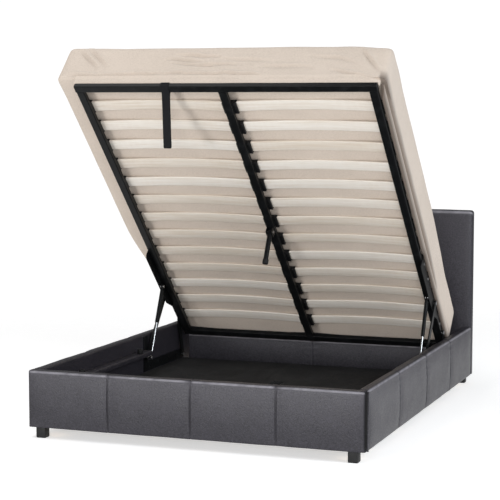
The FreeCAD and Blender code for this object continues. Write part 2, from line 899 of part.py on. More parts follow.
# Gas struts: the rod's eye on the front pivot pin, the cylinder's eye on the upper plate
strut_line = strut_top - front_base
strut_length = strut_line.Length
strut_way = strut_line / strut_length
for label, side in SIDES.items():
    axis = Vector(side * (frame_half - size("strut_inset")), 0, 0)
    foot = axis + front_base
    top = axis + strut_top
    eye = cross_rod(f"rod_eye_{label}", "strut_eye_radius", side, strut_inside, strut_outside, foot.y, foot.z)
    shaft = rod(f"rod_shaft_{label}", "strut_rod_radius", "strut_rod_length", foot, strut_way)
    hole = cross_rod(
        f"rod_hole_{label}",
        "journal_radius + running_clearance",
        side,
        strut_inside - 1,
        strut_outside + 1,
        foot.y,
        foot.z,
    )
    rod_body = fuse(f"strut_rod_body_{label}", [eye, shaft])
    node(f"strut_rod_{label}", cut(f"strut_rod_bored_{label}", rod_body, hole))

    lower_end = size("strut_neck_length") + size("strut_cylinder_length")
    barrel_foot = top - strut_way * lower_end
    barrel = rod(f"barrel_{label}", "strut_cylinder_radius", "strut_cylinder_length", barrel_foot, strut_way)
    neck = rod(
        f"neck_{label}",
        "strut_neck_radius",
        "strut_neck_length",
        top - strut_way * size("strut_neck_length"),
        strut_way,
    )
    top_eye = cross_rod(f"top_eye_{label}", "strut_eye_radius", side, strut_inside, strut_outside, top.y, top.z)
    bore = rod(
        f"bore_{label}",
        "strut_rod_radius + running_clearance",
        "strut_bore_length",
        barrel_foot,
        strut_way,
    )
    top_hole = cross_rod(
        f"top_hole_{label}",
        "journal_radius + running_clearance",
        side,
        strut_inside - 1,
        strut_outside + 1,
        top.y,
        top.z,
    )
    casing = fuse(f"casing_{label}", [barrel, neck, top_eye])
    bored = cut(f"casing_bored_{label}", casing, bore)
    node(f"strut_cylinder_{label}", cut(f"casing_eye_{label}", bored, top_hole))

# Drop leg in its bracket under the centre rail
pivot = Vector(0, leg_along, -size("leg_pivot_drop"))
outer_cheek = size("cheek_gap") + size("cheek_thickness")
bracket_start = pivot.y - size("cheek_length") / 2
bracket_top = -size("tube_depth")
web = box(
    "leg_bracket_web",
    "2 * cheek_gap + 2 * cheek_thickness",
    "cheek_length",
    "cheek_thickness",
    Vector(-outer_cheek, bracket_start, bracket_top - size("cheek_thickness")),
)
cheeks = [
    box(
        f"leg_cheek_{label}",
        "cheek_thickness",
        "cheek_length",
        "cheek_depth",
        Vector(lateral(side, size("cheek_gap"), outer_cheek), bracket_start, bracket_top - size("cheek_depth")),
    )
    for label, side in SIDES.items()
]
cheek_hole = rod(
    "leg_cheek_hole",
    "leg_bolt_radius + running_clearance",
    "4 * cheek_gap",
    pivot - Vector(2 * size("cheek_gap"), 0, 0),
    Vector(1, 0, 0),
)
channel = fuse("leg_channel", [web, *cheeks])
node("leg_bracket", cut("leg_channel_bored", channel, cheek_hole), platform)

bolt_start = pivot - Vector(outer_cheek, 0, 0)
shank_length = "2 * cheek_gap + 2 * cheek_thickness"
shank = rod("leg_bolt_shank", "leg_bolt_radius", shank_length, bolt_start, Vector(1, 0, 0))
bolt_ends = [
    rod(
        f"leg_bolt_end_{label}",
        "bolt_radius",
        "bolt_head",
        pivot + Vector(side * outer_cheek, 0, 0),
        Vector(side, 0, 0),
    )
    for label, side in SIDES.items()
]
node("leg_bolt", fuse("leg_bolt_body", [shank, *bolt_ends]), platform)

leg_seat = platform.multiply(Placement(pivot, Rotation(Vector(1, 0, 0), size("leg_tilt"))))
down = Vector(0, 0, -1)
leg_top = Vector(0, 0, size("leg_rise"))
leg_length = "leg_reach + leg_rise - leg_cap_floor"
leg_outer = rod("leg_outer", "leg_radius", leg_length, leg_top, down)
leg_inner = rod("leg_inner", "leg_radius - leg_wall", f"{leg_length} + 2", leg_top - down, down)
leg_hole = rod(
    "leg_hole",
    "leg_bolt_radius + running_clearance",
    "4 * leg_radius",
    Vector(-2 * size("leg_radius"), 0, 0),
    Vector(1, 0, 0),
)
hollow_leg = cut("leg_hollow", leg_outer, leg_inner)
node("leg_tube", cut("leg_bored", hollow_leg, leg_hole), leg_seat)

leg_foot = Vector(0, 0, -size("leg_reach"))
cap_block = rod("leg_cap_block", "leg_cap_radius", "leg_cap_height", leg_foot, Vector(0, 0, 1))
cap_room = rod(
    "leg_cap_room",
    "leg_radius + running_clearance",
    "leg_cap_height",
    leg_foot + Vector(0, 0, size("leg_cap_floor")),
    Vector(0, 0, 1),
)
cap_body = rounded(
    "leg_cap_round",
    cap_block,
    "leg_cap_floor",
    lambda edge: edge.CenterOfMass.z < leg_foot.z + 1 and edge.Closed,
)
node("leg_cap", cut("leg_cap_bored", cap_body, cap_room), leg_seat)

# Pull strap: a loop round the foot bar and a tail that hangs straight down
strap_start = -size("strap_place") - size("strap_width") / 2
thick = size("strap_thickness")
loop_outer = box(
    "strap_loop_outer",
    "strap_width",
    "tube_width + 2 * end_play + 2 * strap_thickness",
    "tube_depth + 2 * end_play + 2 * strap_thickness",
    Vector(strap_start, -play - thick, -size("tube_depth") - play - thick),
)
loop_inner = box(
    "strap_loop_inner",
    "2 * strap_width",
    "tube_width + 2 * end_play",
    "tube_depth + 2 * end_play",
    Vector(strap_start - size("strap_width") / 2, -play, -size("tube_depth") - play),
)
loop = cut("strap_loop", loop_outer, loop_inner)
loop.Placement = platform
lowest = platform.multVec(Vector(0, size("tube_width") + play + thick, -size("tube_depth") - play - thick))
tail = box(
    "strap_tail_strip",
    "strap_width",
    "strap_thickness",
    "strap_tail",
    Vector(strap_start, lowest.y - thick / 2, lowest.z + thick - size("strap_tail")),
)
node("pull_strap", fuse("strap", [loop, tail]))


# Mattress: rings of the outline from its seat to its crown, drawn in at half height, round the
# room of its spring core. It sits between the rails at the head and bulges over the left one at the foot.
def mattress_ring(rise, inset):
    edge = rail_inside - size("mattress_edge_gap") - inset
    foot = size("mattress_foot_gap") + inset
    head = frame_length + size("mattress_overrun") - inset
    radius = size("mattress_corner")
    quarter = math.radians(45)
    turns = [(edge, head), (-edge, head), (-edge - size("mattress_bulge"), foot), (edge, foot)]
    middle = (foot + head) / 2
    arcs = []
    for index, (across, along) in enumerate(turns):
        pull_in = Vector(math.copysign(radius, across), math.copysign(radius, along - middle), 0)
        centre = Vector(across, along, size("mattress_seat") + rise) - pull_in
        begin = math.radians(90 * index)
        points = [
            centre + Vector(math.cos(angle), math.sin(angle), 0) * radius
            for angle in (begin, begin + quarter, begin + 2 * quarter)
        ]
        arcs.append(Part.Arc(*points).toShape())
    edges = []
    for arc, following in zip(arcs, arcs[1:] + arcs[:1]):
        edges += [arc, Part.makeLine(arc.lastVertex().Point, following.firstVertex().Point)]
    return Part.Wire(edges)


thickness = size("mattress_height")
tuck = size("mattress_tuck")
edge_inset = 0.1 * tuck
rings = [
    mattress_ring(0, tuck),
    mattress_ring(0.14 * thickness, edge_inset),
    mattress_ring(0.5 * thickness, size("mattress_draw")),
    mattress_ring(0.84 * thickness, edge_inset),
    mattress_ring(0.96 * thickness, tuck),
    mattress_ring(thickness, size("mattress_crown")),
]
padding = size("mattress_padding")
core_inset = padding + size("mattress_draw")
core_half = rail_inside - size("mattress_edge_gap") - core_inset
core_length = frame_length + size("mattress_overrun") - size("mattress_foot_gap") - 2 * core_inset
core_corner = Vector(-core_half, size("mattress_foot_gap") + core_inset, size("mattress_seat") + padding)
spring_core = Part.makeBox(2 * core_half, core_length, 0.9 * thickness - padding, core_corner)
mattress = doc.addObject("Part::Feature", "mattress_solid")
mattress.Shape = Part.makeLoft(rings, True, True).cut(spring_core)
node("mattress", mattress, platform)

doc.recompute()
for item in doc.Objects:
    if {"Invalid", "Error"} & set(item.State):
        raise RuntimeError(f"{item.Name} failed: {item.State}")
for item in nodes:
    if item.Shape.isNull() or not item.Shape.isValid() or not item.Shape.Solids:
        raise RuntimeError(f"{item.Label} has no valid solid")

os.makedirs("parts", exist_ok=True)
for item in nodes:
    item.Shape.exportStep(f"parts/{item.Label}.step")
    print(item.Label, len(item.Shape.Solids), "solids", round(item.Shape.Volume / 1000, 1), "cm3")
for name, place in {
    "front top": front_top,
    "rear top": rear_top,
    "strut top": strut_top,
    "front base": front_base,
    "rear base": rear_base,
}.items():
    print(name, round(place.y, 3), round(place.z, 3))
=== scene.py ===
import json
import math

import bmesh
import bpy
import numpy as np
from mathutils import Matrix, Vector, noise


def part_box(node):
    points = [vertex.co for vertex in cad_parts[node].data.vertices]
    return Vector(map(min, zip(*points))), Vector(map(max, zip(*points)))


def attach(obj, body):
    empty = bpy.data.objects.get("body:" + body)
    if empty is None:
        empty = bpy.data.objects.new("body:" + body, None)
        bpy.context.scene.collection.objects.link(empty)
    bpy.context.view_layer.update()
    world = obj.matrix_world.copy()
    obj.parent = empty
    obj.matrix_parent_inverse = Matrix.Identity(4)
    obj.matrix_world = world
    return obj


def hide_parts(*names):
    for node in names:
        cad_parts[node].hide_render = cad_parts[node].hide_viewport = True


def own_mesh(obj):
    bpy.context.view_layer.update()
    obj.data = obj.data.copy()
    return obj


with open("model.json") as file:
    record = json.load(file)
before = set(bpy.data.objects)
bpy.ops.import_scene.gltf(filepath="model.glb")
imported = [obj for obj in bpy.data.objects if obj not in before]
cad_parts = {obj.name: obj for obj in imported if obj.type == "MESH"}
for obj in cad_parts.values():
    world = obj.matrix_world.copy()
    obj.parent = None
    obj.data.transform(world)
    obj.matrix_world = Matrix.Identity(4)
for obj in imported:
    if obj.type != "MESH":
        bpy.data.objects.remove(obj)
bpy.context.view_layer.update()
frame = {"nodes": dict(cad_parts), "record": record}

bl_info = {
    "name": "Ottoman Bed",
    "version": (1, 0, 0),
    "blender": (4, 5, 0),
    "location": "View3D > Sidebar > Bed",
    "description": "Dresses a king size ottoman bed with leather, birch, steel and its mattress",
    "category": "Object",
}

# The raised platform: its foot end and its tilt. Pieces of the platform are drawn flat, along its own
# length from the foot and up from the top of its tubes, and are then tipped into place.
OPEN_TILT = math.radians(45)
PLATFORM_FOOT = (0.0, -0.706071, 1.670071)
PLATFORM = Matrix.Translation(PLATFORM_FOOT) @ Matrix.Rotation(-OPEN_TILT, 4, "X")
FRAME_HALF = 0.7575
FRAME_LENGTH = 1.98
RAIL_PANELS = 4
SLAT_ROWS = 13
SIDES = {"left": -1, "right": 1}
# Parts that are darker than the slot they share with others
DARKENED = {
    "lower_bracket_bolts": "black_steel",
    "corner_bolts": "black_steel",
    "leg_landing_board": "floor_cloth",
}
X_AXIS, Y_AXIS, Z_AXIS = range(3)


# Properties

def length(name, description, default):
    return bpy.props.FloatProperty(
        name=name, description=description, default=default, min=0, unit="LENGTH", precision=4
    )


def colour(name, description, default):
    return bpy.props.FloatVectorProperty(
        name=name, description=description, default=default, min=0, max=1, size=3, subtype="COLOR"
    )


def strength(name, description, default, unit="NONE"):
    return bpy.props.FloatProperty(name=name, description=description, default=default, min=0, unit=unit)


class LeatherSettings(bpy.types.PropertyGroup):
    tone: colour("Tone", "Main colour of the leather", (0.009, 0.0085, 0.011))
    bloom: colour("Bloom", "Paler colour of its cloudy patches", (0.044, 0.041, 0.052))
    # Painted highlight: a pale colour painted along the rails' top edges, where the light catches them
    edge_highlight: colour("Rim", "Colour where the leather is stretched over a top edge", (0.30, 0.29, 0.32))
    grain: length("Grain", "Size of the pebbles in the leather's grain", 0.0042)
    edge: length("Edge rounding", "Rounding of the rails' padded edges", 0.0105)
    headboard_edge: length("Headboard rounding", "Rounding of the headboard's padded edges", 0.018)
    crown: length("Crown", "How far a padded panel stands out between its edges", 0.0105)
    seam: length("Seam depth", "How far a seam pulls the leather in", 0.0026)
    pucker: length("Puckers", "Height of the puckers beside a seam", 0.0024)


class MattressSettings(bpy.types.PropertyGroup):
    tone: colour("Tone", "Main colour of the cover", (0.70, 0.605, 0.52))
    shade: colour("Shade", "Darker threads of the cover", (0.42, 0.35, 0.29))
    # Painted shade: the colour painted into the creases and onto the lower edge and hem beside the right tube
    painted_shade: colour("Painted shade", "Colour of the hem beside the tube", (0.13, 0.10, 0.08))
    weave: length("Weave", "Distance between the threads", 0.0021)
    cap: length("Swell", "Most that a point of the cover moves when it is filled", 0.016)
    mesh: length("Mesh", "Size of the cover's mesh", 0.0135)
    sag: length("Sag", "How far the cover's head edge hangs between the tubes", 0.020)


class TimberSettings(bpy.types.PropertyGroup):
    birch: colour("Birch", "Main colour of the slats", (0.85, 0.80, 0.735))
    birch_grain: colour("Birch grain", "Colour of the slats' grain lines", (0.70, 0.61, 0.51))
    pine: colour("Pine", "Colour of the hidden boards and blocks", (0.52, 0.37, 0.21))
    slat_edge: length("Slat edge", "Rounding of the slats' long edges", 0.0024)


class HardwareSettings(bpy.types.PropertyGroup):
    steel: colour("Painted steel", "Colour of the painted tubes, plates and arms", (0.006, 0.0065, 0.007))
    zinc: colour("Zinc", "Colour of the bolts and pins", (0.56, 0.56, 0.57))
    rod: colour("Strut rod", "Colour of the polished strut rods", (0.52, 0.53, 0.54))
    plastic: colour("Plastic", "Colour of the slat holders and end caps", (0.008, 0.008, 0.0085))
    webbing: colour("Webbing", "Colour of the pull strap", (0.008, 0.008, 0.009))
    lining: colour("Lining", "Colour of the cloth on the storage floor", (0.020, 0.020, 0.0205))


class StageSettings(bpy.types.PropertyGroup):
    floor: colour("Floor", "Colour of the studio floor", (0.95, 0.95, 0.95))
    glow: strength("Glow", "Light that the lit white floor gives off by itself", 0.52)
    sky: strength("Sky", "Strength of the even light from all round", 0.26)
    backdrop: strength("Backdrop", "Brightness of the white backdrop", 1.05)
    key: strength("Key light", "Power of the low light on the left", 520.0, "POWER")
    front: strength("Front light", "Power of the large light beside the camera", 545.0, "POWER")
    fill: strength("Fill light", "Power of the large light on the right", 168.0, "POWER")
    top: strength("Top light", "Power of the light over the bed", 75.0, "POWER")
    lens: bpy.props.FloatProperty(
        name="Lens", description="Focal length of the camera", default=114.77, min=1, unit="CAMERA"
    )


SETTINGS = {
    "bed_leather": LeatherSettings,
    "bed_mattress": MattressSettings,
    "bed_timber": TimberSettings,
    "bed_hardware": HardwareSettings,
    "bed_stage": StageSettings,
}


# Mesh helpers

def only(obj):
    """Selects one object alone and makes it active."""
    bpy.ops.object.select_all(action="DESELECT")
    obj.select_set(True)
    bpy.context.view_layer.objects.active = obj
    return obj


def place_in_mesh(obj):
    """Puts an object's place, turn and size into its mesh."""
    only(obj)
    bpy.ops.object.transform_apply(location=True, rotation=True, scale=True)
    return obj


def named(name):
    """Names the object that was just added."""
    obj = bpy.context.active_object
    obj.name = obj.data.name = name
    return obj


def smooth(obj, angle):
    """Shades a piece smooth, apart from edges sharper than this angle in degrees."""
    only(obj)
    bpy.ops.object.shade_smooth_by_angle(angle=math.radians(angle))


def block(name, low, high):
    """A box between two corners, to be shaped further."""
    low, high = Vector(low), Vector(high)
    bpy.ops.object.select_all(action="DESELECT")
    bpy.ops.mesh.primitive_cube_add(size=1, location=(low + high) / 2)
    obj = named(name)
    obj.scale = high - low
    return place_in_mesh(obj)


def tip_up(obj):
    """Tips a piece that was drawn on the flat platform into the raised pose."""
    obj.matrix_world = PLATFORM
    return place_in_mesh(obj)


class Editing:
    """Edit mode on one piece, with its points, edges and faces picked by a test."""

    LISTS = {"VERT": "verts", "EDGE": "edges", "FACE": "faces"}

    def __init__(self, obj):
        self.obj = obj

    def __enter__(self):
        only(self.obj)
        bpy.ops.object.mode_set(mode="EDIT")
        bpy.ops.mesh.select_all(action="DESELECT")
        return self

    def __exit__(self, *trouble):
        bpy.ops.object.mode_set(mode="OBJECT")

    def pick(self, kind, test):
        bpy.ops.mesh.select_mode(type=kind)
        bpy.ops.mesh.select_all(action="DESELECT")
        mesh = bmesh.from_edit_mesh(self.obj.data)
        for item in getattr(mesh, self.LISTS[kind]):
            if test(item):
                item.select_set(True)
        mesh.select_flush_mode()
        bmesh.update_edit_mesh(self.obj.data)

    def pick_along(self, axis, shortest):
        """Picks the edges that run along an axis and are longer than the shortest."""
        self.pick("EDGE", lambda edge: abs(edge.verts[0].co[axis] - edge.verts[1].co[axis]) > shortest)


def apply(obj, kind, **settings):
    """Adds a modifier with these settings and applies it."""
    only(obj)
    modifier = obj.modifiers.new(kind.title(), kind)
    for name, value in settings.items():
        setattr(modifier, name, value)
    bpy.ops.object.modifier_apply(modifier=modifier.name)


def soften(obj, width, segments=2, angle=40):
    """Rounds all sharp edges a little and shades the piece smooth."""
    limit = math.radians(angle)
    apply(obj, "BEVEL", width=width, segments=segments, limit_method="ANGLE", angle_limit=limit)
    smooth(obj, angle)


def copies(obj, offsets):
    """Joins copies of one piece, each moved by its offset, into one object."""
    made = []
    for offset in offsets:
        twin = obj.copy()
        twin.data = obj.data.copy()
        twin.location = offset
        bpy.context.scene.collection.objects.link(twin)
        made.append(twin)
    name = obj.name
    bpy.data.objects.remove(obj)
    only(made[0])
    for twin in made:
        twin.select_set(True)
    bpy.ops.object.transform_apply(location=True, rotation=True, scale=True)
    bpy.ops.object.join()
    return named(name)


def points_of(obj, field="co"):
    flat = np.empty(len(obj.data.vertices) * 3)
    obj.data.vertices.foreach_get(field, flat)
    return flat.reshape(-1, 3)


def move_points(obj, points):
    obj.data.vertices.foreach_set("co", points.ravel())
    obj.data.update()


def drift(points, size, seed=0.0):
    """Smooth noise at each point, from about -1 to 1, with waves of about that size."""
    shift = Vector((seed, 2.3 * seed, 5.1 * seed))
    return np.array([noise.noise(Vector(point) / size + shift) for point in points])


def mark(obj, name, levels):
    """Stores a level at each point of a piece for its material."""
    layer = obj.data.attributes.new(name, "FLOAT", "POINT")
    layer.data.foreach_set("value", np.ascontiguousarray(levels, dtype=np.float32))


def mark_weave(obj):
    """Stores how far each point's face lies along each axis, so that threads run only along the cloth."""
    layer = obj.data.attributes.new("lying", "FLOAT_VECTOR", "POINT")
    lying = 1 - points_of(obj, "normal") ** 2
    layer.data.foreach_set("vector", np.ascontiguousarray(lying, dtype=np.float32).ravel())


def settle(obj, body, slot, *nodes):
    """Gives a finished piece its material and slot, and lets it ride on its body."""
    obj.data.materials.clear()
    obj.data.materials.append(FINISHES[slot])
    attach(obj, body)
    if nodes:
        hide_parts(*nodes)
    return obj


# Materials

class Wire:
    """One output of a material's nodes. Arithmetic on it adds Math nodes."""

    def __init__(self, tree, socket=None):
        self.tree = tree
        self.socket = socket

    def node(self, kind, settings=None, inputs=None, output=0):
        """Adds a node: its settings first, then the values or links of its sockets."""
        item = self.tree.nodes.new("ShaderNode" + kind)
        for name, value in (settings or {}).items():
            if name == "stops":
                self.set_stops(item.color_ramp.elements, value)
            else:
                setattr(item, name, value)
        for name, value in (inputs or {}).items():
            if isinstance(value, Wire):
                self.tree.links.new(value.socket, item.inputs[name])
            else:
                item.inputs[name].default_value = value
        return Wire(self.tree, item.outputs[output])

    @staticmethod
    def set_stops(elements, stops):
        elements[0].position, elements[-1].position = stops[0][0], stops[-1][0]
        for place, _ in stops[1:-1]:
            elements.new(place)
        for element, (_, level) in zip(elements, stops):
            element.color = (level, level, level, 1)

    def maths(self, operation, first, second=0.0):
        return self.node("Math", {"operation": operation}, {0: first, 1: second})

    def __add__(self, other):
        return self.maths("ADD", self, other)

    def __sub__(self, other):
        return self.maths("SUBTRACT", self, other)

    def __rsub__(self, other):
        return self.maths("SUBTRACT", other, self)

    def __mul__(self, other):
        return self.maths("MULTIPLY", self, other)

    __radd__ = __add__
    __rmul__ = __mul__

    def mix(self, first, second):
        """Blends two colours by this value."""
        colours = [side if isinstance(side, Wire) else (*side, 1) for side in (first, second)]
        return self.node("Mix", {"data_type": "RGBA"}, {0: self, 6: colours[0], 7: colours[1]}, output=2)

    def ramp(self, *stops):
        return self.node("ValToRGB", {"stops": stops}, {"Fac": self})

    def part(self, axis):
        """One of the three numbers of a place or direction."""
        return self.node("SeparateXYZ", inputs={"Vector": self}, output=axis)

    def marked(self, name):
        """The level that was stored at each point under this name."""
        return self.node("Attribute", {"attribute_name": name}, output=2)

    def place(self, turn=0.0, size=(1, 1, 1)):
        """Object coordinates, turned about the bed's width and stretched."""
        start = self.node("TexCoord", output=3)
        return self.node("Mapping", inputs={"Vector": start, "Rotation": (turn, 0, 0), "Scale": size})

    def clouds(self, where, scale, detail=2.0, rough=0.5):
        return self.node(
            "TexNoise", inputs={"Vector": where, "Scale": scale, "Detail": detail, "Roughness": rough}
        )

    def cells(self, where, scale, feature="F1"):
        return self.node("TexVoronoi", {"feature": feature}, {"Vector": where, "Scale": scale})

    def bands(self, where, scale, direction, wobble=0.0):
        return self.node(
            "TexWave",
            {"bands_direction": direction},
            {"Vector": where, "Scale": scale, "Distortion": wobble, "Detail Scale": 1.5},
            output=1,
        )

    def bump(self, distance, strength=1.0):
        return self.node("Bump", inputs={"Height": self, "Distance": distance, "Strength": strength})


def finish(name, paint, bed, steady):
    """A material: paint gives the inputs that vary over it, and steady the values of other inputs."""
    material = bpy.data.materials.new(name)
    material.use_nodes = True
    tree = material.node_tree
    shader = tree.nodes["Principled BSDF"]
    for socket, value in steady.items():
        shader.inputs[socket].default_value = value
    for socket, wire in paint(Wire(tree), bed).items():
        tree.links.new(wire.socket, shader.inputs[socket])
    return material


def paint_leather(start, bed):
    look = bed.bed_leather
    where = start.place()
    pebbles = start.cells(where, 1 / look.grain, "SMOOTH_F1")
    creases = start.cells(where, 0.3 / look.grain, "DISTANCE_TO_EDGE").ramp((0.0, 0.0), (0.09, 1.0))
    mottle = start.clouds(where, 0.55 / look.grain, 3.0, 0.7).ramp((0.36, 0.0), (0.66, 1.0))
    patches = start.clouds(where, 11, 4.0, 0.6)
    height = (1 - pebbles) * 0.6 + creases * 0.25 + mottle * 0.35
    tone = (mottle * 0.6 + patches * 0.5).mix(look.tone, look.bloom)
    tone = (0.4 - creases * 0.4).mix(tone, look.tone)
    # Painted highlight along the top edges: paler and a little glossier
    rubbed = start.marked("rubbed")
    # Painted shade on the foot rail's end faces: near black and rough
    tucked = start.marked("tucked")
    dark = [0.2 * level for level in look.tone]
    return {
        "Base Color": tucked.mix(rubbed.mix(tone, look.edge_highlight), dark),
        "Roughness": patches * 0.14 + mottle * 0.14 + tucked * 0.6 - rubbed * 0.1 + 0.27,
        "Normal": height.bump(0.0012, 0.8),
    }


def paint_linen(start, bed):
    look = bed.bed_mattress
    where = start.place(OPEN_TILT)
    pitch = 1 / (2 * math.pi * look.weave) * 2
    lying = start.node("Attribute", {"attribute_name": "lying"}, output=1)
    warp, weft, rise = (
        start.bands(where, pitch, name, 0.7) * lying.part(axis) for axis, name in enumerate("XYZ")
    )
    slubs = start.clouds(start.place(OPEN_TILT, (120, 260, 260)), 1, 3.0, 0.6)
    patches = start.clouds(where, 5.5, 3.0, 0.55)
    flecks = start.clouds(where, 170, 3.0, 0.65)
    thread = (warp + weft + rise) * 0.16 + slubs * 0.28 + flecks * 0.26
    tone = thread.ramp((0.20, 1.0), (0.52, 0.0)).mix(look.tone, look.shade)
    # Painted shade in the creases and beside the right tube
    shaded = start.marked("shaded")
    pale = [min(1.0, 1.06 * level) for level in look.tone]
    return {
        "Base Color": shaded.mix(patches.ramp((0.35, 0.0), (0.75, 0.3)).mix(tone, pale), look.painted_shade),
        "Normal": (thread + patches * 0.2).bump(0.0007, 0.45),
    }


def paint_birch(start, bed):
    look = bed.bed_timber
    grain = start.clouds(start.place(OPEN_TILT, (3.2, 90, 90)), 1, 5.0, 0.62)
    pores = start.clouds(start.place(OPEN_TILT, (24, 900, 900)), 1, 2.0, 0.5)
    along = start.place(OPEN_TILT).part(Y_AXIS)
    half = start.place().part(X_AXIS)
    row = along.maths("FLOOR", along * (1 / SLAT_PITCH) + 0.35)
    side = half.maths("SIGN", half) * 0.31
    boards = start.node("TexWhiteNoise", {"noise_dimensions": "1D"}, {"W": row + side})
    plies = start.bands(start.place(OPEN_TILT), 210, "Z", 0.3)
    lines = grain.ramp((0.42, 0.0), (0.66, 1.0)) * 0.55 + boards.ramp((0.35, 0.0), (0.75, 1.0)) * 0.5
    streaks = pores.ramp((0.55, 0.0), (0.75, 1.0)) * 0.15
    return {
        "Base Color": (lines + streaks + plies * 0.06).mix(look.birch, look.birch_grain),
        "Roughness": grain * 0.2 + 0.42,
        "Normal": (grain * 0.5 + pores * 0.5).bump(0.0004, 0.3),
    }


def paint_pine(start, bed):
    look = bed.bed_timber
    rings = start.clouds(start.place(0, (2.2, 55, 55)), 1, 4.0, 0.6)
    fibre = start.clouds(start.place(0, (20, 600, 600)), 1, 2.0)
    dark = [0.62 * level for level in look.pine]
    return {
        "Base Color": rings.ramp((0.4, 0.0), (0.64, 1.0)).mix(look.pine, dark),
        "Roughness": rings * 0.2 + 0.5,
        "Normal": (rings + fibre * 0.5).bump(0.0006, 0.4),
    }


def paint_steel(start, bed):
    look = bed.bed_hardware
    where = start.place()
    peel = start.clouds(where, 420, 2.0)
    handled = start.clouds(where, 22, 4.0, 0.6)
    worn = [2.2 * level for level in look.steel]
    return {
        "Base Color": handled.ramp((0.5, 0.0), (0.78, 1.0)).mix(look.steel, worn),
        "Roughness": handled * 0.22 + 0.22,
        "Normal": peel.bump(0.0005, 0.2),
    }


def paint_zinc(start, bed):
    look = bed.bed_hardware
    where = start.place()
    spangle = start.cells(where, 260)
    haze = start.clouds(where, 75, 3.0)
    dull = [0.6 * level for level in look.zinc]
    return {
        "Base Color": (spangle * 0.6 + haze * 0.3).mix(look.zinc, dull),
        "Roughness": haze * 0.25 + 0.24,
        "Normal": spangle.bump(0.0002, 0.2),
    }


def paint_rod(start, bed):
    look = bed.bed_hardware
    drawn = start.clouds(start.place(math.radians(24), (900, 900, 14)), 1, 2.0)
    dull = [0.86 * level for level in look.rod]
    return {
        "Base Color": drawn.mix(look.rod, dull),
        "Roughness": drawn * 0.1 + 0.07,
    }


def moulded(roughness, scale):
    """What paints a moulded piece of this roughness, with texture of this scale."""

    def paint(start, bed):
        look = bed.bed_hardware
        where = start.place()
        texture = start.clouds(where, scale, 2.0)
        scuffs = start.clouds(where, 30, 4.0, 0.65)
        pale = [2.0 * level for level in look.plastic]
        return {
            "Base Color": scuffs.ramp((0.5, 0.0), (0.8, 1.0)).mix(look.plastic, pale),
            "Roughness": scuffs * 0.18 + roughness,
            "Normal": texture.bump(0.0004, 0.3),
        }

    return paint


def paint_webbing(start, bed):
    look = bed.bed_hardware
    where = start.place()
    ribs = start.bands(where, 115, "Z", 0.4)
    cords = start.bands(where, 150, "X", 0.5)
    fluff = start.clouds(where, 800, 2.0)
    pale = [2.4 * level for level in look.webbing]
    return {
        "Base Color": (ribs * cords * 0.7 + fluff * 0.2).mix(look.webbing, pale),
        "Normal": (ribs * 0.6 + cords * 0.4).bump(0.0008, 0.6),
    }


def paint_lining(start, bed):
    look = bed.bed_hardware
    where = start.place()
    fibres = start.clouds(where, 520, 3.0, 0.7)
    dimples = start.cells(where, 330)
    patches = start.clouds(where, 6, 3.0)
    pale = [1.9 * level for level in look.lining]
    return {
        "Base Color": (fibres * 0.5 + patches * 0.5).ramp((0.35, 0.0), (0.7, 1.0)).mix(look.lining, pale),
        "Normal": (fibres * 0.6 + dimples * 0.4).bump(0.0007, 0.5),
    }


def paint_floor(start, bed):
    """The studio floor, which fades out into the backdrop."""
    where = start.place()
    mottle = start.clouds(where, 0.7, 2.0)
    away = start.node("VectorMath", {"operation": "LENGTH"}, {0: where}, output=1)
    return {"Roughness": mottle * 0.1 + 0.75, "Alpha": (away * 0.1).ramp((0.22, 1.0), (0.5, 0.0))}


MOULDED_GLOSS = {"Specular IOR Level": 0.25}
# What paints the material of each slot, and the steady values of its shader
PAINTS = {
    "black_leather": (paint_leather, {"Specular IOR Level": 0.28}),
    "linen": (paint_linen, {"Roughness": 0.88, "Sheen Weight": 0.18, "Specular IOR Level": 0.25}),
    "birch": (paint_birch, {}),
    "board": (paint_pine, {}),
    "black_steel": (paint_steel, {"Specular IOR Level": 0.11}),
    "zinc_steel": (paint_zinc, {"Metallic": 1.0}),
    "bright_rod": (paint_rod, {"Metallic": 1.0}),
    "black_plastic": (moulded(0.4, 1300), MOULDED_GLOSS),
    "foot_plastic": (moulded(0.46, 900), MOULDED_GLOSS),
    "black_rubber": (moulded(0.62, 1600), MOULDED_GLOSS),
    "webbing": (paint_webbing, {"Roughness": 0.82, "Specular IOR Level": 0.15}),
    "floor_cloth": (paint_lining, {"Roughness": 0.85, "Specular IOR Level": 0.15}),
}
FINISHES = {}


# Pieces

# A leather cover's mesh: its steps along and up, how much it crowds at a seam and how far that reaches
COVER_STEP, COVER_RISE = 0.0085, 0.011
CROWDING, CROWDING_REACH = 8, 0.012


def gathered(start, end, seams, count):
    """Places along a cover from start to end, set close together at its seams."""
    line = np.linspace(start, end, 6000)
    density = 1 + sum(CROWDING * np.exp(-np.abs(line - seam) / CROWDING_REACH) for seam in seams)
    share_done = np.cumsum(density)
    return np.interp(np.linspace(share_done[0], share_done[-1], count), share_done, line)


def cut_along(obj, axis, shortest, cuts):
    """Cuts all edges that run along an axis and are longer than the shortest."""
    with Editing(obj) as edit:
        edit.pick_along(axis, shortest)
        bpy.ops.mesh.subdivide(number_cuts=cuts)


# Leather: width of a seam's crease, depth and reach of the dip beside it, length and reach of its puckers
CREASE_WIDTH, DIP, DIP_REACH = 0.0021, 0.42, 0.034
PUCKER_LENGTH, PUCKER_REACH = 0.031, 0.030
# Height of its slack waves, how far the padding thins at its ends, and the share of the padding on its top
SLACK_WAVE, END_REACH, TOP_PADDING = 0.0014, 0.05, 0.28
# Slope, in degrees, of the painted highlight along a top edge, and how wide it spreads
HIGHLIGHT_SLOPE, HIGHLIGHT_SPREAD = 33, 15


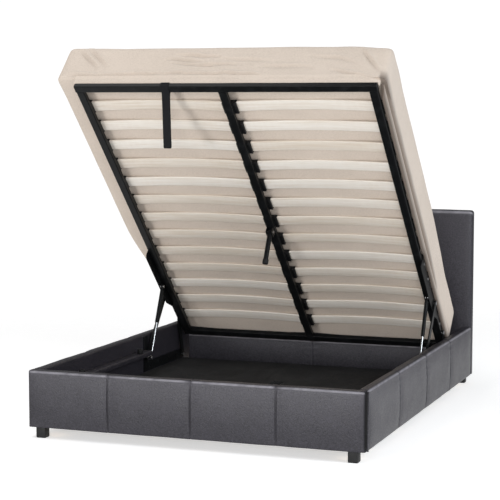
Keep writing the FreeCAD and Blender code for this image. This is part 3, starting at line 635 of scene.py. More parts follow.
def plump(cover, seams, axis, outward, look, bulge):
    """Pads a leather cover: bulging panels, narrow drawn-in seams and the puckers beside them."""
    points, normals = points_of(cover), points_of(cover, "normal")
    outward = np.array(outward, float)
    along = points[:, axis]
    rise = (points[:, 2] - points[:, 2].min()) / np.ptp(points[:, 2])
    ends = np.minimum(along - along.min(), along.max() - along)
    front = np.clip(normals @ outward, 0, 1)
    top = np.clip(normals[:, 2], 0, 1)
    gap = np.abs(along[:, None] - np.array(seams)[None, :]).min(axis=1)
    swell = (1 - np.abs(2 * rise - 1) ** 2.6) * (1 - np.exp(-ends / END_REACH)) * bulge
    crown = (front * swell + TOP_PADDING * top) * (1 - DIP * np.exp(-((gap / DIP_REACH) ** 2)))
    crease = np.exp(-((gap / CREASE_WIDTH) ** 2)) * np.maximum(front * (1 + 0.6 * swell), top) ** 2
    around = points @ (np.array((0, 0, 1.0)) - outward)
    wobble = drift(points, 0.11, 1.7)
    fine = drift(points * (1.6, 1.6, 1), 0.045, 6.3)
    beside = np.exp(-gap / PUCKER_REACH) * (1 - np.exp(-gap / 0.004)) * (0.35 + rise**3)
    ripple = np.sin(2 * math.pi * around / PUCKER_LENGTH + 2.6 * wobble) * beside
    soft = np.clip(front + top, 0, 1)
    move = look.crown * crown - look.seam * crease
    move += (look.pucker * (ripple + 0.5 * fine * np.exp(-gap / 0.06)) + SLACK_WAVE * wobble) * soft
    move_points(cover, points + normals * move[:, None])
    # Painted highlight: a pale line along the top edge, fainter at the seams, and a lighter upper part of the
    # front face
    slope = np.degrees(np.arctan2(top, np.maximum(front, 1e-6)))
    line = np.exp(-(((slope - HIGHLIGHT_SLOPE) / HIGHLIGHT_SPREAD) ** 2)) * (front > 0.1)
    line = line * (1 - 0.8 * np.exp(-((gap / 0.012) ** 2)))
    mark(cover, "rubbed", np.clip(line * (1 + 0.7 * fine) + 0.16 * front * np.clip(rise - 0.3, 0, 1), 0, 1))


def leather_cover(node, seams, axis, outward, name, rounding, bulge=1.0):
    """Padded leather round one of the base's boards, with seams across it."""
    look = bpy.context.scene.bed_leather
    low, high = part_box(node)
    cover = block(name, low, high)
    with Editing(cover) as edit:
        edit.pick("EDGE", lambda edge: max(end.co.z for end in edge.verts) > low.z + 0.001)
        bpy.ops.mesh.bevel(offset=rounding, segments=4, affect="EDGES")
    run = high[axis] - low[axis]
    cuts = round(run / COVER_STEP)
    start, end = low[axis] + rounding, high[axis] - rounding
    cut_along(cover, axis, 0.8 * run, cuts)
    points = points_of(cover)
    inside = (points[:, axis] > start + 1e-5) & (points[:, axis] < end - 1e-5)
    even = np.linspace(start, end, cuts + 2)
    points[inside, axis] = np.interp(points[inside, axis], even, gathered(start, end, seams, cuts + 2))
    move_points(cover, points)
    height, depth = high.z - low.z, high[1 - axis] - low[1 - axis]
    cut_along(cover, Z_AXIS, 0.6 * height, max(14, round(height / COVER_RISE)))
    cut_along(cover, 1 - axis, 0.3 * depth, 3)
    plump(cover, seams, axis, outward, look, bulge)
    only(cover)
    bpy.ops.object.shade_smooth()
    settle(cover, "base", "black_leather", node)
    return cover


def seam_places(node, axis, panels=RAIL_PANELS):
    low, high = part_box(node)
    return [low[axis] + (high[axis] - low[axis]) * seam / panels for seam in range(1, panels)]


class BED_OT_rails(bpy.types.Operator):
    """Covers the foot rail and the two side rails with padded, seamed leather"""

    bl_idname = "bed.rails"
    bl_label = "Leather Rails"

    def execute(self, context):
        look = context.scene.bed_leather
        seams = seam_places("foot_rail_cover", X_AXIS)
        foot = leather_cover("foot_rail_cover", seams, X_AXIS, (0, -1, 0), "foot_rail_leather", look.edge)
        # Painted shade: the foot rail's end faces are painted near black, as where they fall in shadow
        mark(foot, "tucked", np.clip(np.abs(points_of(foot, "normal")[:, X_AXIS]) * 1.6 - 0.5, 0, 1))
        for label, side in SIDES.items():
            node = f"side_rail_cover_{label}"
            seams = seam_places(node, Y_AXIS)
            leather_cover(node, seams, Y_AXIS, (side, 0, 0), f"side_rail_leather_{label}", look.edge)
        return {"FINISHED"}


class BED_OT_corner_folds(bpy.types.Operator):
    """Folds the leather flaps that close the joint between the foot rail and the side rails"""

    bl_idname = "bed.corner_folds"
    bl_label = "Corner Folds"

    # Width, stand off the rail, drop below it, spread towards the floor, and what is tucked in or lapped over
    WIDTH, STAND, DROP, SPREAD = 0.011, 0.0055, 0.006, 0.010
    TUCK, LAP = 0.004, 0.0015

    def execute(self, context):
        low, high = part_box("foot_rail_cover")
        for label, side in SIDES.items():
            inner, outer = sorted((side * (high.x - self.TUCK), side * (high.x + self.STAND)))
            joint = high.y
            fold = block(
                f"corner_fold_{label}",
                (inner, joint - self.WIDTH, low.z - self.DROP),
                (outer, joint + self.LAP, high.z - self.TUCK),
            )
            cut_along(fold, Z_AXIS, 0.1, 30)
            cut_along(fold, Y_AXIS, 0.005, 5)
            points = points_of(fold)
            drop = np.clip((high.z - points[:, 2]) / (high.z - low.z), 0, 1)
            forward = np.clip((joint - points[:, 1]) / self.WIDTH, 0, 1)
            points[:, 1] -= self.SPREAD * drop**1.6 * forward
            stand = np.abs(points[:, 0]) > high.x
            points[stand, 0] -= side * self.STAND * 0.55 * (np.abs(2 * forward[stand] - 1) ** 3)
            points[:, 0] += side * 0.0012 * drift(points, 0.05, 5.0 + side)
            points[:, 2] += np.where(drop > 0.99, 0.006 * forward, 0)
            move_points(fold, points)
            soften(fold, 0.0016, 3, 50)
            settle(fold, "base", "black_leather")
        return {"FINISHED"}


class BED_OT_headboard(bpy.types.Operator):
    """Covers the headboard with padded, seamed leather"""

    bl_idname = "bed.headboard"
    bl_label = "Leather Headboard"

    def execute(self, context):
        seams = seam_places("headboard_cover", X_AXIS)
        rounding = context.scene.bed_leather.headboard_edge
        leather_cover("headboard_cover", seams, X_AXIS, (0, -1, 0), "headboard_leather", rounding, 0.9)
        return {"FINISHED"}


class BED_OT_divider(bpy.types.Operator):
    """Covers the divider of the storage well with leather sewn from two lengths"""

    bl_idname = "bed.divider"
    bl_label = "Leather Divider"

    def execute(self, context):
        seams = seam_places("divider_cover", X_AXIS, 2)
        leather_cover("divider_cover", seams, X_AXIS, (0, -1, 0), "divider_leather", 0.005, 0.15)
        return {"FINISHED"}


class BED_OT_battens(bpy.types.Operator):
    """Wraps the ledges inside the side rails in leather"""

    bl_idname = "bed.battens"
    bl_label = "Leather Battens"

    ROUNDING, WAVE = 0.005, 0.0008

    def execute(self, context):
        for label in SIDES:
            node = f"side_batten_{label}"
            low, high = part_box(node)
            ledge = block(f"batten_leather_{label}", low, high)
            with Editing(ledge) as edit:
                edit.pick_along(Y_AXIS, 0.5)
                bpy.ops.mesh.bevel(offset=self.ROUNDING, segments=3, affect="EDGES")
            cut_along(ledge, Y_AXIS, 0.5, 90)
            points, normals = points_of(ledge), points_of(ledge, "normal")
            lift = drift(points, 0.12, 3.1) * self.WAVE * np.clip(normals[:, 2], 0, 1)
            move_points(ledge, points + normals * lift[:, None])
            smooth(ledge, 50)
            settle(ledge, "base", "black_leather", node)
        return {"FINISHED"}


class BED_OT_storage_floor(bpy.types.Operator):
    """Lays the cloth-faced floor panels, notched round the drop leg, with their slack wrinkles"""

    bl_idname = "bed.storage_floor"
    bl_label = "Storage Floor"

    SLOT_HALF = 0.031
    SLOT_START, SLOT_END = -0.045, 0.135
    # Height of the sharp folds and of the slow swell, the flat margin, and the joint to close
    FOLD, SWELL, MARGIN, JOINT = 0.0042, 0.002, 0.06, 0.0015
    LINING = 0.0016

    def execute(self, context):
        for label, side in SIDES.items():
            node = f"storage_floor_{label}"
            low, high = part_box(node)
            size = high - low
            bpy.ops.object.select_all(action="DESELECT")
            bpy.ops.mesh.primitive_grid_add(
                x_subdivisions=60, y_subdivisions=130, size=1, location=((low + high) / 2).xy.to_3d()
            )
            panel = named(f"floor_panel_{label}")
            panel.scale = (size.x, size.y, 1)
            panel.location.z = high.z
            place_in_mesh(panel)
            with Editing(panel) as edit:
                for point, normal in (
                    ((side * self.SLOT_HALF, 0, 0), (1, 0, 0)),
                    ((0, self.SLOT_START, 0), (0, 1, 0)),
                    ((0, self.SLOT_END, 0), (0, 1, 0)),
                ):
                    edit.pick("FACE", lambda face: True)
                    bpy.ops.mesh.bisect(plane_co=point, plane_no=normal)
                edit.pick("FACE", self.in_slot)
                bpy.ops.mesh.delete(type="FACE")
            points = points_of(panel)
            edge = np.minimum.reduce(
                [points[:, 0] - low.x, high.x - points[:, 0], points[:, 1] - low.y, high.y - points[:, 1]]
            )
            before, after = self.SLOT_START - points[:, 1], points[:, 1] - self.SLOT_END
            slot = np.maximum.reduce([np.abs(points[:, 0]) - self.SLOT_HALF, before, after])
            calm = np.clip(np.minimum(edge, np.clip(slot, 0, 1)) / self.MARGIN, 0, 1)
            folds = 1 - np.abs(drift(points * (1, 0.45, 1), 0.12, 8.2 + side)) * 2.4
            swell = drift(points, 0.3, 4.4 - side)
            points[:, 2] += calm * (self.FOLD * np.clip(folds, 0, 1) ** 2 + self.SWELL * swell)
            points[np.abs(points[:, 0]) < self.JOINT, 0] = 0
            move_points(panel, points)
            apply(panel, "SOLIDIFY", thickness=size.z, offset=-1)
            smooth(panel, 50)
            settle(panel, "base", "floor_cloth", node)
        self.line_slot()
        return {"FINISHED"}

    def line_slot(self):
        """Lines the slot with cloth, from under the floor panels down to the board that the leg stands on."""
        top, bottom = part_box("storage_floor_left")[0].z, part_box("leg_landing_board")[1].z
        lining = block(
            "leg_slot_lining",
            (-self.SLOT_HALF, self.SLOT_START, bottom),
            (self.SLOT_HALF, self.SLOT_END, top),
        )
        with Editing(lining) as edit:
            edit.pick_along(Z_AXIS, 0.01)
            bpy.ops.mesh.bevel(offset=0.004, segments=3, affect="EDGES")
            edit.pick("FACE", lambda face: abs(face.normal.z) > 0.9)
            bpy.ops.mesh.delete(type="ONLY_FACE")
        apply(lining, "SOLIDIFY", thickness=self.LINING, offset=1)
        smooth(lining, 40)
        settle(lining, "base", "floor_cloth")

    def in_slot(self, face):
        middle = face.calc_center_median()
        return abs(middle.x) < self.SLOT_HALF and self.SLOT_START < middle.y < self.SLOT_END


class BED_OT_feet(bpy.types.Operator):
    """Stands the base on four moulded feet with a glide pad under each"""

    bl_idname = "bed.feet"
    bl_label = "Feet"

    PAD, PAD_INSET, ROUNDING = 0.003, 0.0015, 0.001

    def execute(self, context):
        for end in ("foot", "head"):
            for label in SIDES:
                node = f"{end}_end_foot_{label}"
                low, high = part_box(node)
                foot = block(f"{end}_foot_{label}", low + Vector((0, 0, self.PAD)), high)
                with Editing(foot) as edit:
                    edit.pick("FACE", lambda face: face.normal.z < -0.9)
                    bpy.ops.mesh.inset(thickness=self.PAD_INSET)
                    bpy.ops.mesh.extrude_region_move(TRANSFORM_OT_translate={"value": (0, 0, -self.PAD)})
                soften(foot, self.ROUNDING)
                settle(foot, "base", "foot_plastic", node)
        return {"FINISHED"}


# Slats on the flat platform: outer and inner ends, section, bow, height of their seats, first and last place
SLAT_REACH, SLAT_MIDDLE = 0.747, 0.008
SLAT_WIDTH, SLAT_THICKNESS, SLAT_BOW, SLAT_SEAT = 0.063, 0.008, 0.014, 0.011
SLAT_FIRST, SLAT_LAST = 0.172, FRAME_LENGTH - 0.146
SLAT_PITCH = (SLAT_LAST - SLAT_FIRST) / (SLAT_ROWS - 1)
SLAT_PLACES = [SLAT_FIRST + SLAT_PITCH * row for row in range(SLAT_ROWS)]


class BED_OT_slats(bpy.types.Operator):
    """Bends one birch slat and lays thirteen of them on each side of the centre rail"""

    bl_idname = "bed.slats"
    bl_label = "Birch Slats"

    def execute(self, context):
        chord = SLAT_REACH - SLAT_MIDDLE
        radius = chord**2 / (8 * SLAT_BOW) + SLAT_BOW / 2
        for label, side in SIDES.items():
            half = Vector((chord / 2, SLAT_WIDTH / 2, 0))
            slat = block(f"birch_slats_{label}", -half, half + Vector((0, 0, SLAT_THICKNESS)))
            with Editing(slat) as edit:
                edit.pick_along(X_AXIS, 0.5)
                bpy.ops.mesh.bevel(offset=context.scene.bed_timber.slat_edge, segments=3, affect="EDGES")
            cut_along(slat, X_AXIS, 0.5, 27)
            points = points_of(slat)
            points[:, 2] += np.sqrt(radius**2 - points[:, 0] ** 2) - (radius - SLAT_BOW) + SLAT_SEAT
            points[:, 0] += side * (SLAT_REACH + SLAT_MIDDLE) / 2
            move_points(slat, points)
            smooth(slat, 35)
            row = copies(slat, [(0, place, 0) for place in SLAT_PLACES])
            tip_up(row)
            settle(row, "platform", "birch", f"slats_{label}")
        return {"FINISHED"}


class BED_OT_holders(bpy.types.Operator):
    """Moulds the plastic slat holders with their pockets and sets them on the tubes"""

    bl_idname = "bed.holders"
    bl_label = "Slat Holders"

    WIDTH, HEIGHT = 0.070, 0.026
    DEPTH, CENTRE_HALF, END_PLAY = 0.0355, 0.036, 0.0012
    POCKET_LOW, POCKET_HIGH, POCKET_HALF, POCKET_PAST = 0.0107, 0.0223, 0.0319, 0.05
    TOP_ROUND, ROUNDING = 0.0026, 0.0007

    def holder(self, name, start, end, pockets):
        body = block(name, (start, -self.WIDTH / 2, 0), (end, self.WIDTH / 2, self.HEIGHT))
        with Editing(body) as edit:
            edit.pick("EDGE", lambda edge: all(tip.co.z > self.HEIGHT - 0.001 for tip in edge.verts))
            bpy.ops.mesh.bevel(offset=self.TOP_ROUND, segments=3, affect="EDGES")
        for low, high in pockets:
            room = block(
                "pocket_room",
                (low, -self.POCKET_HALF, self.POCKET_LOW),
                (high, self.POCKET_HALF, self.POCKET_HIGH),
            )
            apply(body, "BOOLEAN", operation="DIFFERENCE", object=room, solver="EXACT")
            bpy.data.objects.remove(room)
        soften(body, self.ROUNDING, 2, 50)
        return body

    def set_row(self, label, start, end, pockets):
        """Sets a holder at each row of slats along one tube."""
        holder = self.holder(f"slat_caps_{label}", start, end, pockets)
        row = tip_up(copies(holder, [(0, place, 0) for place in SLAT_PLACES]))
        settle(row, "platform", "black_plastic", f"slat_holders_{label}")

    def execute(self, context):
        end_stop = SLAT_REACH + self.END_PLAY
        for label, side in SIDES.items():
            inner, outer = sorted((side * (FRAME_HALF - self.DEPTH), side * FRAME_HALF))
            pocket = sorted((side * (end_stop - self.DEPTH), side * end_stop))
            self.set_row(label, inner, outer, [pocket])
        stop = SLAT_MIDDLE - self.END_PLAY
        pockets = [(stop, self.POCKET_PAST), (-self.POCKET_PAST, -stop)]
        self.set_row("centre", -self.CENTRE_HALF, self.CENTRE_HALF, pockets)
        return {"FINISHED"}


class BED_OT_bumpers(bpy.types.Operator):
    """Turns the rubber buffers on the ledges that the lowered platform rests on"""

    bl_idname = "bed.bumpers"
    bl_label = "Rest Bumpers"

    RADIUS, ROUNDING, DISH = 0.015, 0.005, 0.003

    def execute(self, context):
        low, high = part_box("rest_bumpers")
        bpy.ops.object.select_all(action="DESELECT")
        bpy.ops.mesh.primitive_cylinder_add(
            vertices=40, radius=self.RADIUS, depth=high.z - low.z, location=(0, 0, (low.z + high.z) / 2)
        )
        bumper = place_in_mesh(named("rubber_bumpers"))
        with Editing(bumper) as edit:
            edit.pick("FACE", lambda face: face.normal.z > 0.9)
            bpy.ops.mesh.bevel(offset=self.ROUNDING, segments=4, affect="EDGES")
            edit.pick("FACE", lambda face: face.normal.z > 0.9)
            bpy.ops.mesh.inset(thickness=self.ROUNDING)
            bpy.ops.mesh.extrude_region_move(TRANSFORM_OT_translate={"value": (0, 0, -self.DISH)})
        soften(bumper, 0.0008)
        across, ends = high.x - self.RADIUS, (low.y + self.RADIUS, high.y - self.RADIUS)
        row = copies(bumper, [(side * across, along, 0) for side in SIDES.values() for along in ends])
        settle(row, "base", "black_rubber", "rest_bumpers")
        return {"FINISHED"}


class BED_OT_strap(bpy.types.Operator):
    """Loops the webbing pull strap round the foot bar and lets its tail hang"""

    bl_idname = "bed.strap"
    bl_label = "Pull Strap"

    WIDTH, THICKNESS, MIDDLE = 0.042, 0.0022, -0.285
    TAIL, TAIL_STEPS = 0.262, 16
    TAIL_TOP = (0.0405, -0.0285)
    BAR_MIDDLE = (0.02, -0.0125)
    # The loop round the bar on the flat platform: along it and up
    LOOP = (
        (0.0300, -0.0272), (0.0100, -0.0272), (0.0020, -0.0270), (-0.0012, -0.0255), (-0.0024, -0.0225),
        (-0.0024, -0.0120), (-0.0024, -0.0030), (-0.0012, 0.0010), (0.0020, 0.0022), (0.0200, 0.0022),
        (0.0380, 0.0022), (0.0412, 0.0010), (0.0424, -0.0030), (0.0424, -0.0120), (0.0424, -0.0225),
    )

    def route(self):
        """The strap's line in the bed's frame, from the end of its tail to its sewn end."""
        loop = [PLATFORM @ Vector((self.MIDDLE, along, rise)) for along, rise in self.LOOP]
        corner = PLATFORM @ Vector((self.MIDDLE, *self.TAIL_TOP))
        tail = []
        for step in range(self.TAIL_STEPS):
            drop = self.TAIL * (1 - step / self.TAIL_STEPS)
            part = drop / self.TAIL
            sway = Vector((0.010 * part**2, 0.004 * math.sin(math.pi * part * 1.3), -drop))
            tail.append(corner + sway)
        sewn = [corner + Vector((0, 0.0028, -drop)) for drop in (0.004, 0.018, 0.034)]
        return [*tail, corner + Vector((0, -0.001, -0.002)), *loop, *sewn]

    def execute(self, context):
        route = self.route()
        bpy.ops.object.select_all(action="DESELECT")
        first, second = route[0], route[1]
        bpy.ops.mesh.primitive_plane_add(size=1, location=(first + second) / 2, rotation=(math.pi / 2, 0, 0))
        strap = named("webbing_strap")
        strap.scale = (self.WIDTH, (second - first).length, 1)
        place_in_mesh(strap)
        for point in strap.data.vertices:
            end = first if point.co.z < (first.z + second.z) / 2 else second
            point.co.y, point.co.z = end.y, end.z
        with Editing(strap) as edit:
            edit.pick("EDGE", lambda edge: all(abs(tip.co.z - second.z) < 1e-5 for tip in edge.verts))
            for start, end in zip(route[1:], route[2:]):
                bpy.ops.mesh.extrude_region_move(TRANSFORM_OT_translate={"value": end - start})
            edit.pick_along(X_AXIS, 0.02)
            bpy.ops.mesh.subdivide(number_cuts=5)
            bpy.ops.mesh.select_all(action="SELECT")
            bpy.ops.mesh.normals_make_consistent(inside=False)
        apply(strap, "SUBSURF", levels=1, render_levels=1)
        apply(strap, "SOLIDIFY", thickness=self.THICKNESS, offset=0)
        soften(strap, 0.0005, 2, 50)
        settle(strap, "platform", "webbing", "pull_strap")
        run = sum((end - start).length for start, end in zip(route, route[1:]))
        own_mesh(strap)
        return {"FINISHED"}


class BED_OT_mattress(bpy.types.Operator):
    """Fills the mattress cover by simulation, then lays in the folds of its slack cloth"""

    bl_idname = "bed.mattress"
    bl_label = "Mattress"

    # Corners on the flat platform: the cover reaches further out at the left of the foot end. The hems hang
    # beside the right tube, shorter past the upper plates, and along the foot bar.
    RIGHT_FOOT, RIGHT_HEAD, LEFT_HEAD, LEFT_FOOT = 0.790, 0.772, -0.772, -0.874
    TAPER_START, TAPER_END = 1.10, 1.86
    FOOT, HEAD = 0.003, 1.993
    SEAT, THICKNESS = 0.0336, 0.257
    CORNER, TOP_ROUND, SEAT_ROUND = 0.028, 0.026, 0.012
    HEM_INSIDE, HEM_OUTSIDE = 0.7618, 0.7737
    HEM_LOW, HEM_LOW_AT_PLATES, HEM_TOP = -0.009, 0.0055, 0.056
    HEM_START, HEM_END, PLATES_START = 0.046, 1.955, 1.225
    FOOT_HEM_LEFT, FOOT_HEM_RIGHT, FOOT_HEM_LOW = -0.7735, 0.7620, 0.0046
    FOOT_HEM_FRONT, FOOT_HEM_BACK, FOOT_HEM_TURN = 0.001, 0.013, 0.014
    HEM_ROUNDS, FOOT_HEM_ROUNDS, HEM_CUTS = (0.002, 0.008), (0.004, 0.002), 160
    # Height of the hems' waves and sway of the foot hem, then the lengths of the side hem's step, of its
    # lifted start and of the foot hem's turn
    HEM_WAVE, FOOT_HEM_WAVE, FOOT_HEM_SWAY = 0.0012, 0.0015, 0.003
    STEP_LENGTH, LIFT_LENGTH, TURN_LENGTH = 0.05, 0.07, 0.04
    # The filling: how much smaller the cover starts, its pressure, the steps of the simulation, the slack and
    # stiffness of the cloth, and how near a corner it swells less
    START_INSET, PRESSURE, FILL_STEPS = 0.012, 4.0, 20
    SLACK, STIFFNESS, CORNER_REACH = 0.008, 3.0, 0.30
    # The slack cloth: strength of the creases, droop of the corners and its reach, waves and their wandering
    CREASING, RIGHT_DROOP, LEFT_DROOP, DROOP_REACH = 2.0, 0.034, 0.012, 0.16
    LOOSE_WAVE, FINE_WAVE, WANDER = 0.0016, 0.0004, 0.012
    # The head edge that hangs between the tubes: margin beside a tube, length and height that hang
    BAY_MARGIN, HANG_LENGTH, HANG_HEIGHT = 0.02, 0.20, 0.10
    # Shade in the creases and on the edge beside the right tube, and where that starts
    CREASE_SHADE, EDGE_SHADE, EDGE_START = 0.22, 0.85, 0.755

    # Creases of the foot end: start and end across and up, depth and width
    DEEPEST = 0.0055
    CREASES = (
        ((-0.820, 0.070), (-0.630, 0.052), 0.0050, 0.008),
        ((-0.670, 0.053), (-0.410, 0.068), 0.0050, 0.008),
        ((-0.440, 0.066), (-0.330, 0.080), 0.0045, 0.007),
        ((-0.340, 0.068), (-0.190, 0.076), 0.0050, 0.007),
        ((-0.220, 0.075), (0.040, 0.072), 0.0050, 0.007),
        ((0.000, 0.078), (0.180, 0.060), 0.0045, 0.007),
        ((-0.800, 0.235), (-0.690, 0.110), 0.0045, 0.010),
        ((-0.760, 0.250), (-0.640, 0.125), 0.0035, 0.009),
        ((-0.335, 0.175), (-0.130, 0.150), 0.0055, 0.008),
        ((-0.310, 0.150), (-0.090, 0.128), 0.0050, 0.007),
        ((-0.280, 0.200), (-0.060, 0.186), 0.0045, 0.008),
        ((-0.170, 0.128), (0.060, 0.140), 0.0040, 0.007),
        ((-0.040, 0.176), (0.200, 0.160), 0.0030, 0.009),
        ((0.150, 0.120), (0.420, 0.108), 0.0030, 0.009),
        ((0.400, 0.190), (0.620, 0.150), 0.0030, 0.010),
        ((0.640, 0.230), (0.745, 0.110), 0.0040, 0.010),
        ((0.520, 0.085), (0.735, 0.055), 0.0045, 0.008),
    )

    def blank(self, look):
        """The cover before it is filled, a little small, with rounded corners."""
        inset = self.START_INSET
        low = (self.LEFT_FOOT + inset, self.FOOT + inset, self.SEAT)
        high = (self.RIGHT_FOOT - inset, self.HEAD - inset, self.SEAT + self.THICKNESS - inset)
        cover = block("mattress_cover", low, high)
        with Editing(cover) as edit:
            edit.pick_along(Z_AXIS, 0.1)
            bpy.ops.mesh.bevel(offset=self.CORNER, segments=6, affect="EDGES")
            for level, rounding in ((high[2], self.TOP_ROUND), (low[2], self.SEAT_ROUND)):
                edit.pick("FACE", lambda face: abs(face.calc_center_median().z - level) < 1e-4)
                bpy.ops.mesh.bevel(offset=rounding, segments=5, affect="EDGES")
        apply(cover, "REMESH", mode="VOXEL", voxel_size=look.mesh)
        points = points_of(cover)
        taper = np.clip((points[:, 1] - self.TAPER_START) / (self.TAPER_END - self.TAPER_START), 0, 1)
        taper = taper * taper * (3 - 2 * taper)
        left = np.clip(points[:, 0] / self.LEFT_FOOT, 0, 1)
        right = np.clip(points[:, 0] / self.RIGHT_FOOT, 0, 1)
        points[:, 0] += (self.LEFT_HEAD - self.LEFT_FOOT) * taper * left
        points[:, 0] += (self.RIGHT_HEAD - self.RIGHT_FOOT) * taper * right
        move_points(cover, points)
        return cover

    def fill(self, cover, look):
        """Blows the cover up over its filling, with its underside held on the slats."""
        start = points_of(cover)
        held = cover.vertex_groups.new(name="held")
        resting = np.flatnonzero(start[:, 2] < self.SEAT + 0.004)
        held.add(resting.tolist(), 1.0, "REPLACE")
        only(cover)
        cloth = cover.modifiers.new("Filling", "CLOTH")
        cloth.settings.vertex_group_mass = held.name
        cloth.settings.use_pressure = True
        cloth.settings.uniform_pressure_force = self.PRESSURE
        cloth.settings.effector_weights.gravity = 0
        cloth.settings.shrink_min = -self.SLACK
        cloth.settings.bending_stiffness = self.STIFFNESS
        cloth.settings.quality = 5
        cloth.collision_settings.use_collision = False
        cloth.point_cache.frame_start, cloth.point_cache.frame_end = 1, self.FILL_STEPS
        scene = bpy.context.scene
        for step in range(1, self.FILL_STEPS + 1):
            scene.frame_set(step)
        bpy.ops.object.modifier_apply(modifier=cloth.name)
        scene.frame_set(1)
        move = points_of(cover) - start
        far = np.linalg.norm(move, axis=1)
        ends = np.minimum(start[:, 1] - self.FOOT, self.HEAD - start[:, 1])
        sides = np.minimum(start[:, 0] - self.LEFT_FOOT, self.RIGHT_FOOT - start[:, 0])
        cap = look.cap * np.clip(np.hypot(ends, sides) / self.CORNER_REACH, 0.1, 1)
        move *= (cap * np.tanh(far / cap) / np.maximum(far, 1e-9))[:, None]
        move_points(cover, start + move)
        cover.vertex_groups.clear()

    def fit(self, cover):
        """Draws the filled cover out to the mattress's own size on each side."""
        points = points_of(cover)
        across, along = np.abs(points[:, 0]) < 0.4, np.abs(points[:, 1] - 0.5) < 0.3
        middle = across & (np.abs(points[:, 1] - 1) < 0.5)
        spans = (
            (0, points[along, 0], (self.LEFT_FOOT, self.RIGHT_FOOT)),
            (1, points[across, 1], (self.FOOT, self.HEAD)),
            (2, points[middle, 2], (self.SEAT, self.SEAT + self.THICKNESS)),
        )
        for axis, seen, target in spans:
            beyond = points[:, axis] - np.clip(points[:, axis], seen.min(), seen.max())
            points[:, axis] = np.interp(points[:, axis], (seen.min(), seen.max()), target) + 0.4 * beyond
        move_points(cover, points)

    def swell(self, cover):
        points, normals = points_of(cover), points_of(cover, "normal")
        above = np.clip((points[:, 2] - self.SEAT) / 0.03, 0, 1)
        move_points(cover, points + normals * (self.START_INSET * above)[:, None])

    def crease(self, cover):
        """Presses the long creases and bunched folds into the foot end, and loose waves elsewhere."""
        points, normals = points_of(cover), points_of(cover, "normal")
        foot = np.clip(-normals[:, 1], 0, 1) ** 0.7
        move = self.LOOSE_WAVE * drift(points, 0.16, 9.4) + self.FINE_WAVE * drift(points, 0.05, 3.3) * foot
        shade = np.zeros(len(points))
        flat = points[:, [X_AXIS, Z_AXIS]]
        flat[:, 1] += self.WANDER * drift(points, 0.10, 2.2)
        for start, end, depth, width in self.CREASES:
            run = np.subtract(end, start)
            along = np.clip((flat - start) @ run / (run @ run), 0, 1)
            offset = flat - start - along[:, None] * run
            reach = np.linalg.norm(offset, axis=1)
            fade = np.sin(math.pi * np.clip(along, 0.04, 0.96)) ** 0.5
            valley = np.exp(-((reach / width) ** 2))
            upper = offset @ np.array((-run[1], run[0])) > 0
            ridge = np.exp(-(((reach - 1.9 * width) / (0.9 * width)) ** 2)) * upper
            move += foot * fade * self.CREASING * depth * (0.8 * ridge - valley)
            shade = np.maximum(shade, foot * fade * valley * depth / self.DEEPEST)
        above = np.clip((points[:, 2] - self.SEAT) / 0.02, 0, 1)
        points = points + normals * (move * above)[:, None]
        ends = np.minimum(points[:, 1] - self.FOOT, self.HEAD - points[:, 1])
        sides = np.minimum(points[:, 0] - self.LEFT_FOOT, self.RIGHT_FOOT - points[:, 0])
        droop = np.where(points[:, 0] > 0, self.RIGHT_DROOP, self.LEFT_DROOP)
        points[:, 2] -= droop * np.exp(-(ends**2 + sides**2) / self.DROOP_REACH**2) * above**2
        points[:, 2] = np.maximum(points[:, 2], self.SEAT)
        move_points(cover, points)
        return shade

    def hang(self, cover, look):
        """Lets the head edge hang a little in the two bays between the tubes."""
        points = points_of(cover)
        bay = np.sin(math.pi * np.clip(np.abs(points[:, 0]) / (FRAME_HALF - self.BAY_MARGIN), 0, 1))
        near_head = np.clip((points[:, 1] - (self.HEAD - self.HANG_LENGTH)) / self.HANG_LENGTH, 0, 1) ** 2
        low = np.clip(1 - (points[:, 2] - self.SEAT) / self.HANG_HEIGHT, 0, 1)
        points[:, 1] += look.sag * bay * near_head * low
        move_points(cover, points)

    def roll(self, name, low, high, axis, roundings):
        """A roll of slack cover along an axis, with its two lower edges rounded."""
        roll = block(name, low, high)
        across = 1 - axis

        def is_lower(edge, side):
            tips = [(tip.co[across] - side, tip.co.z - low[2]) for tip in edge.verts]
            return max(abs(off) for tip in tips for off in tip) < 1e-4

        with Editing(roll) as edit:
            for side, rounding in zip((low[across], high[across]), roundings):
                edit.pick("EDGE", lambda edge: is_lower(edge, side))
                bpy.ops.mesh.bevel(offset=rounding, segments=5, affect="EDGES")
        cut_along(roll, axis, 1.0, self.HEM_CUTS)
        return roll

    def settle_hem(self, roll):
        mark_weave(roll)
        smooth(roll, 50)
        tip_up(roll)
        settle(roll, "platform", "linen")

    def side_hem(self):
        """The slack cover that hangs beside the right tube, over the ends of the slat holders."""
        low = (self.HEM_INSIDE, self.HEM_START, self.HEM_LOW)
        high = (self.HEM_OUTSIDE, self.HEM_END, self.HEM_TOP)
        roll = self.roll("mattress_side_hem", low, high, Y_AXIS, self.HEM_ROUNDS)
        points = points_of(roll)
        plates = np.clip((points[:, 1] - self.PLATES_START) / self.STEP_LENGTH + 1, 0, 1)
        hanging = np.clip(self.HEM_TOP - points[:, 2], 0, 1)
        short = (self.HEM_TOP - self.HEM_LOW_AT_PLATES) / (self.HEM_TOP - self.HEM_LOW)
        points[:, 2] = self.HEM_TOP - hanging * (1 + (short - 1) * plates)
        points[:, 2] += self.HEM_WAVE * (1 + drift(points * (0, 1, 0), 0.09, 2.7)) * (1 - plates)
        corner = np.clip(1 - (points[:, 1] - self.HEM_START) / self.LIFT_LENGTH, 0, 1) ** 2
        points[:, 2] += corner * np.maximum(self.SEAT - points[:, 2], 0)
        move_points(roll, points)
        # Painted shade, darkest at the hem's bottom beside the tube
        mark(roll, "shaded", np.clip((self.SEAT + 0.02 - points[:, 2]) / 0.03, 0, 1) ** 0.5)
        self.settle_hem(roll)

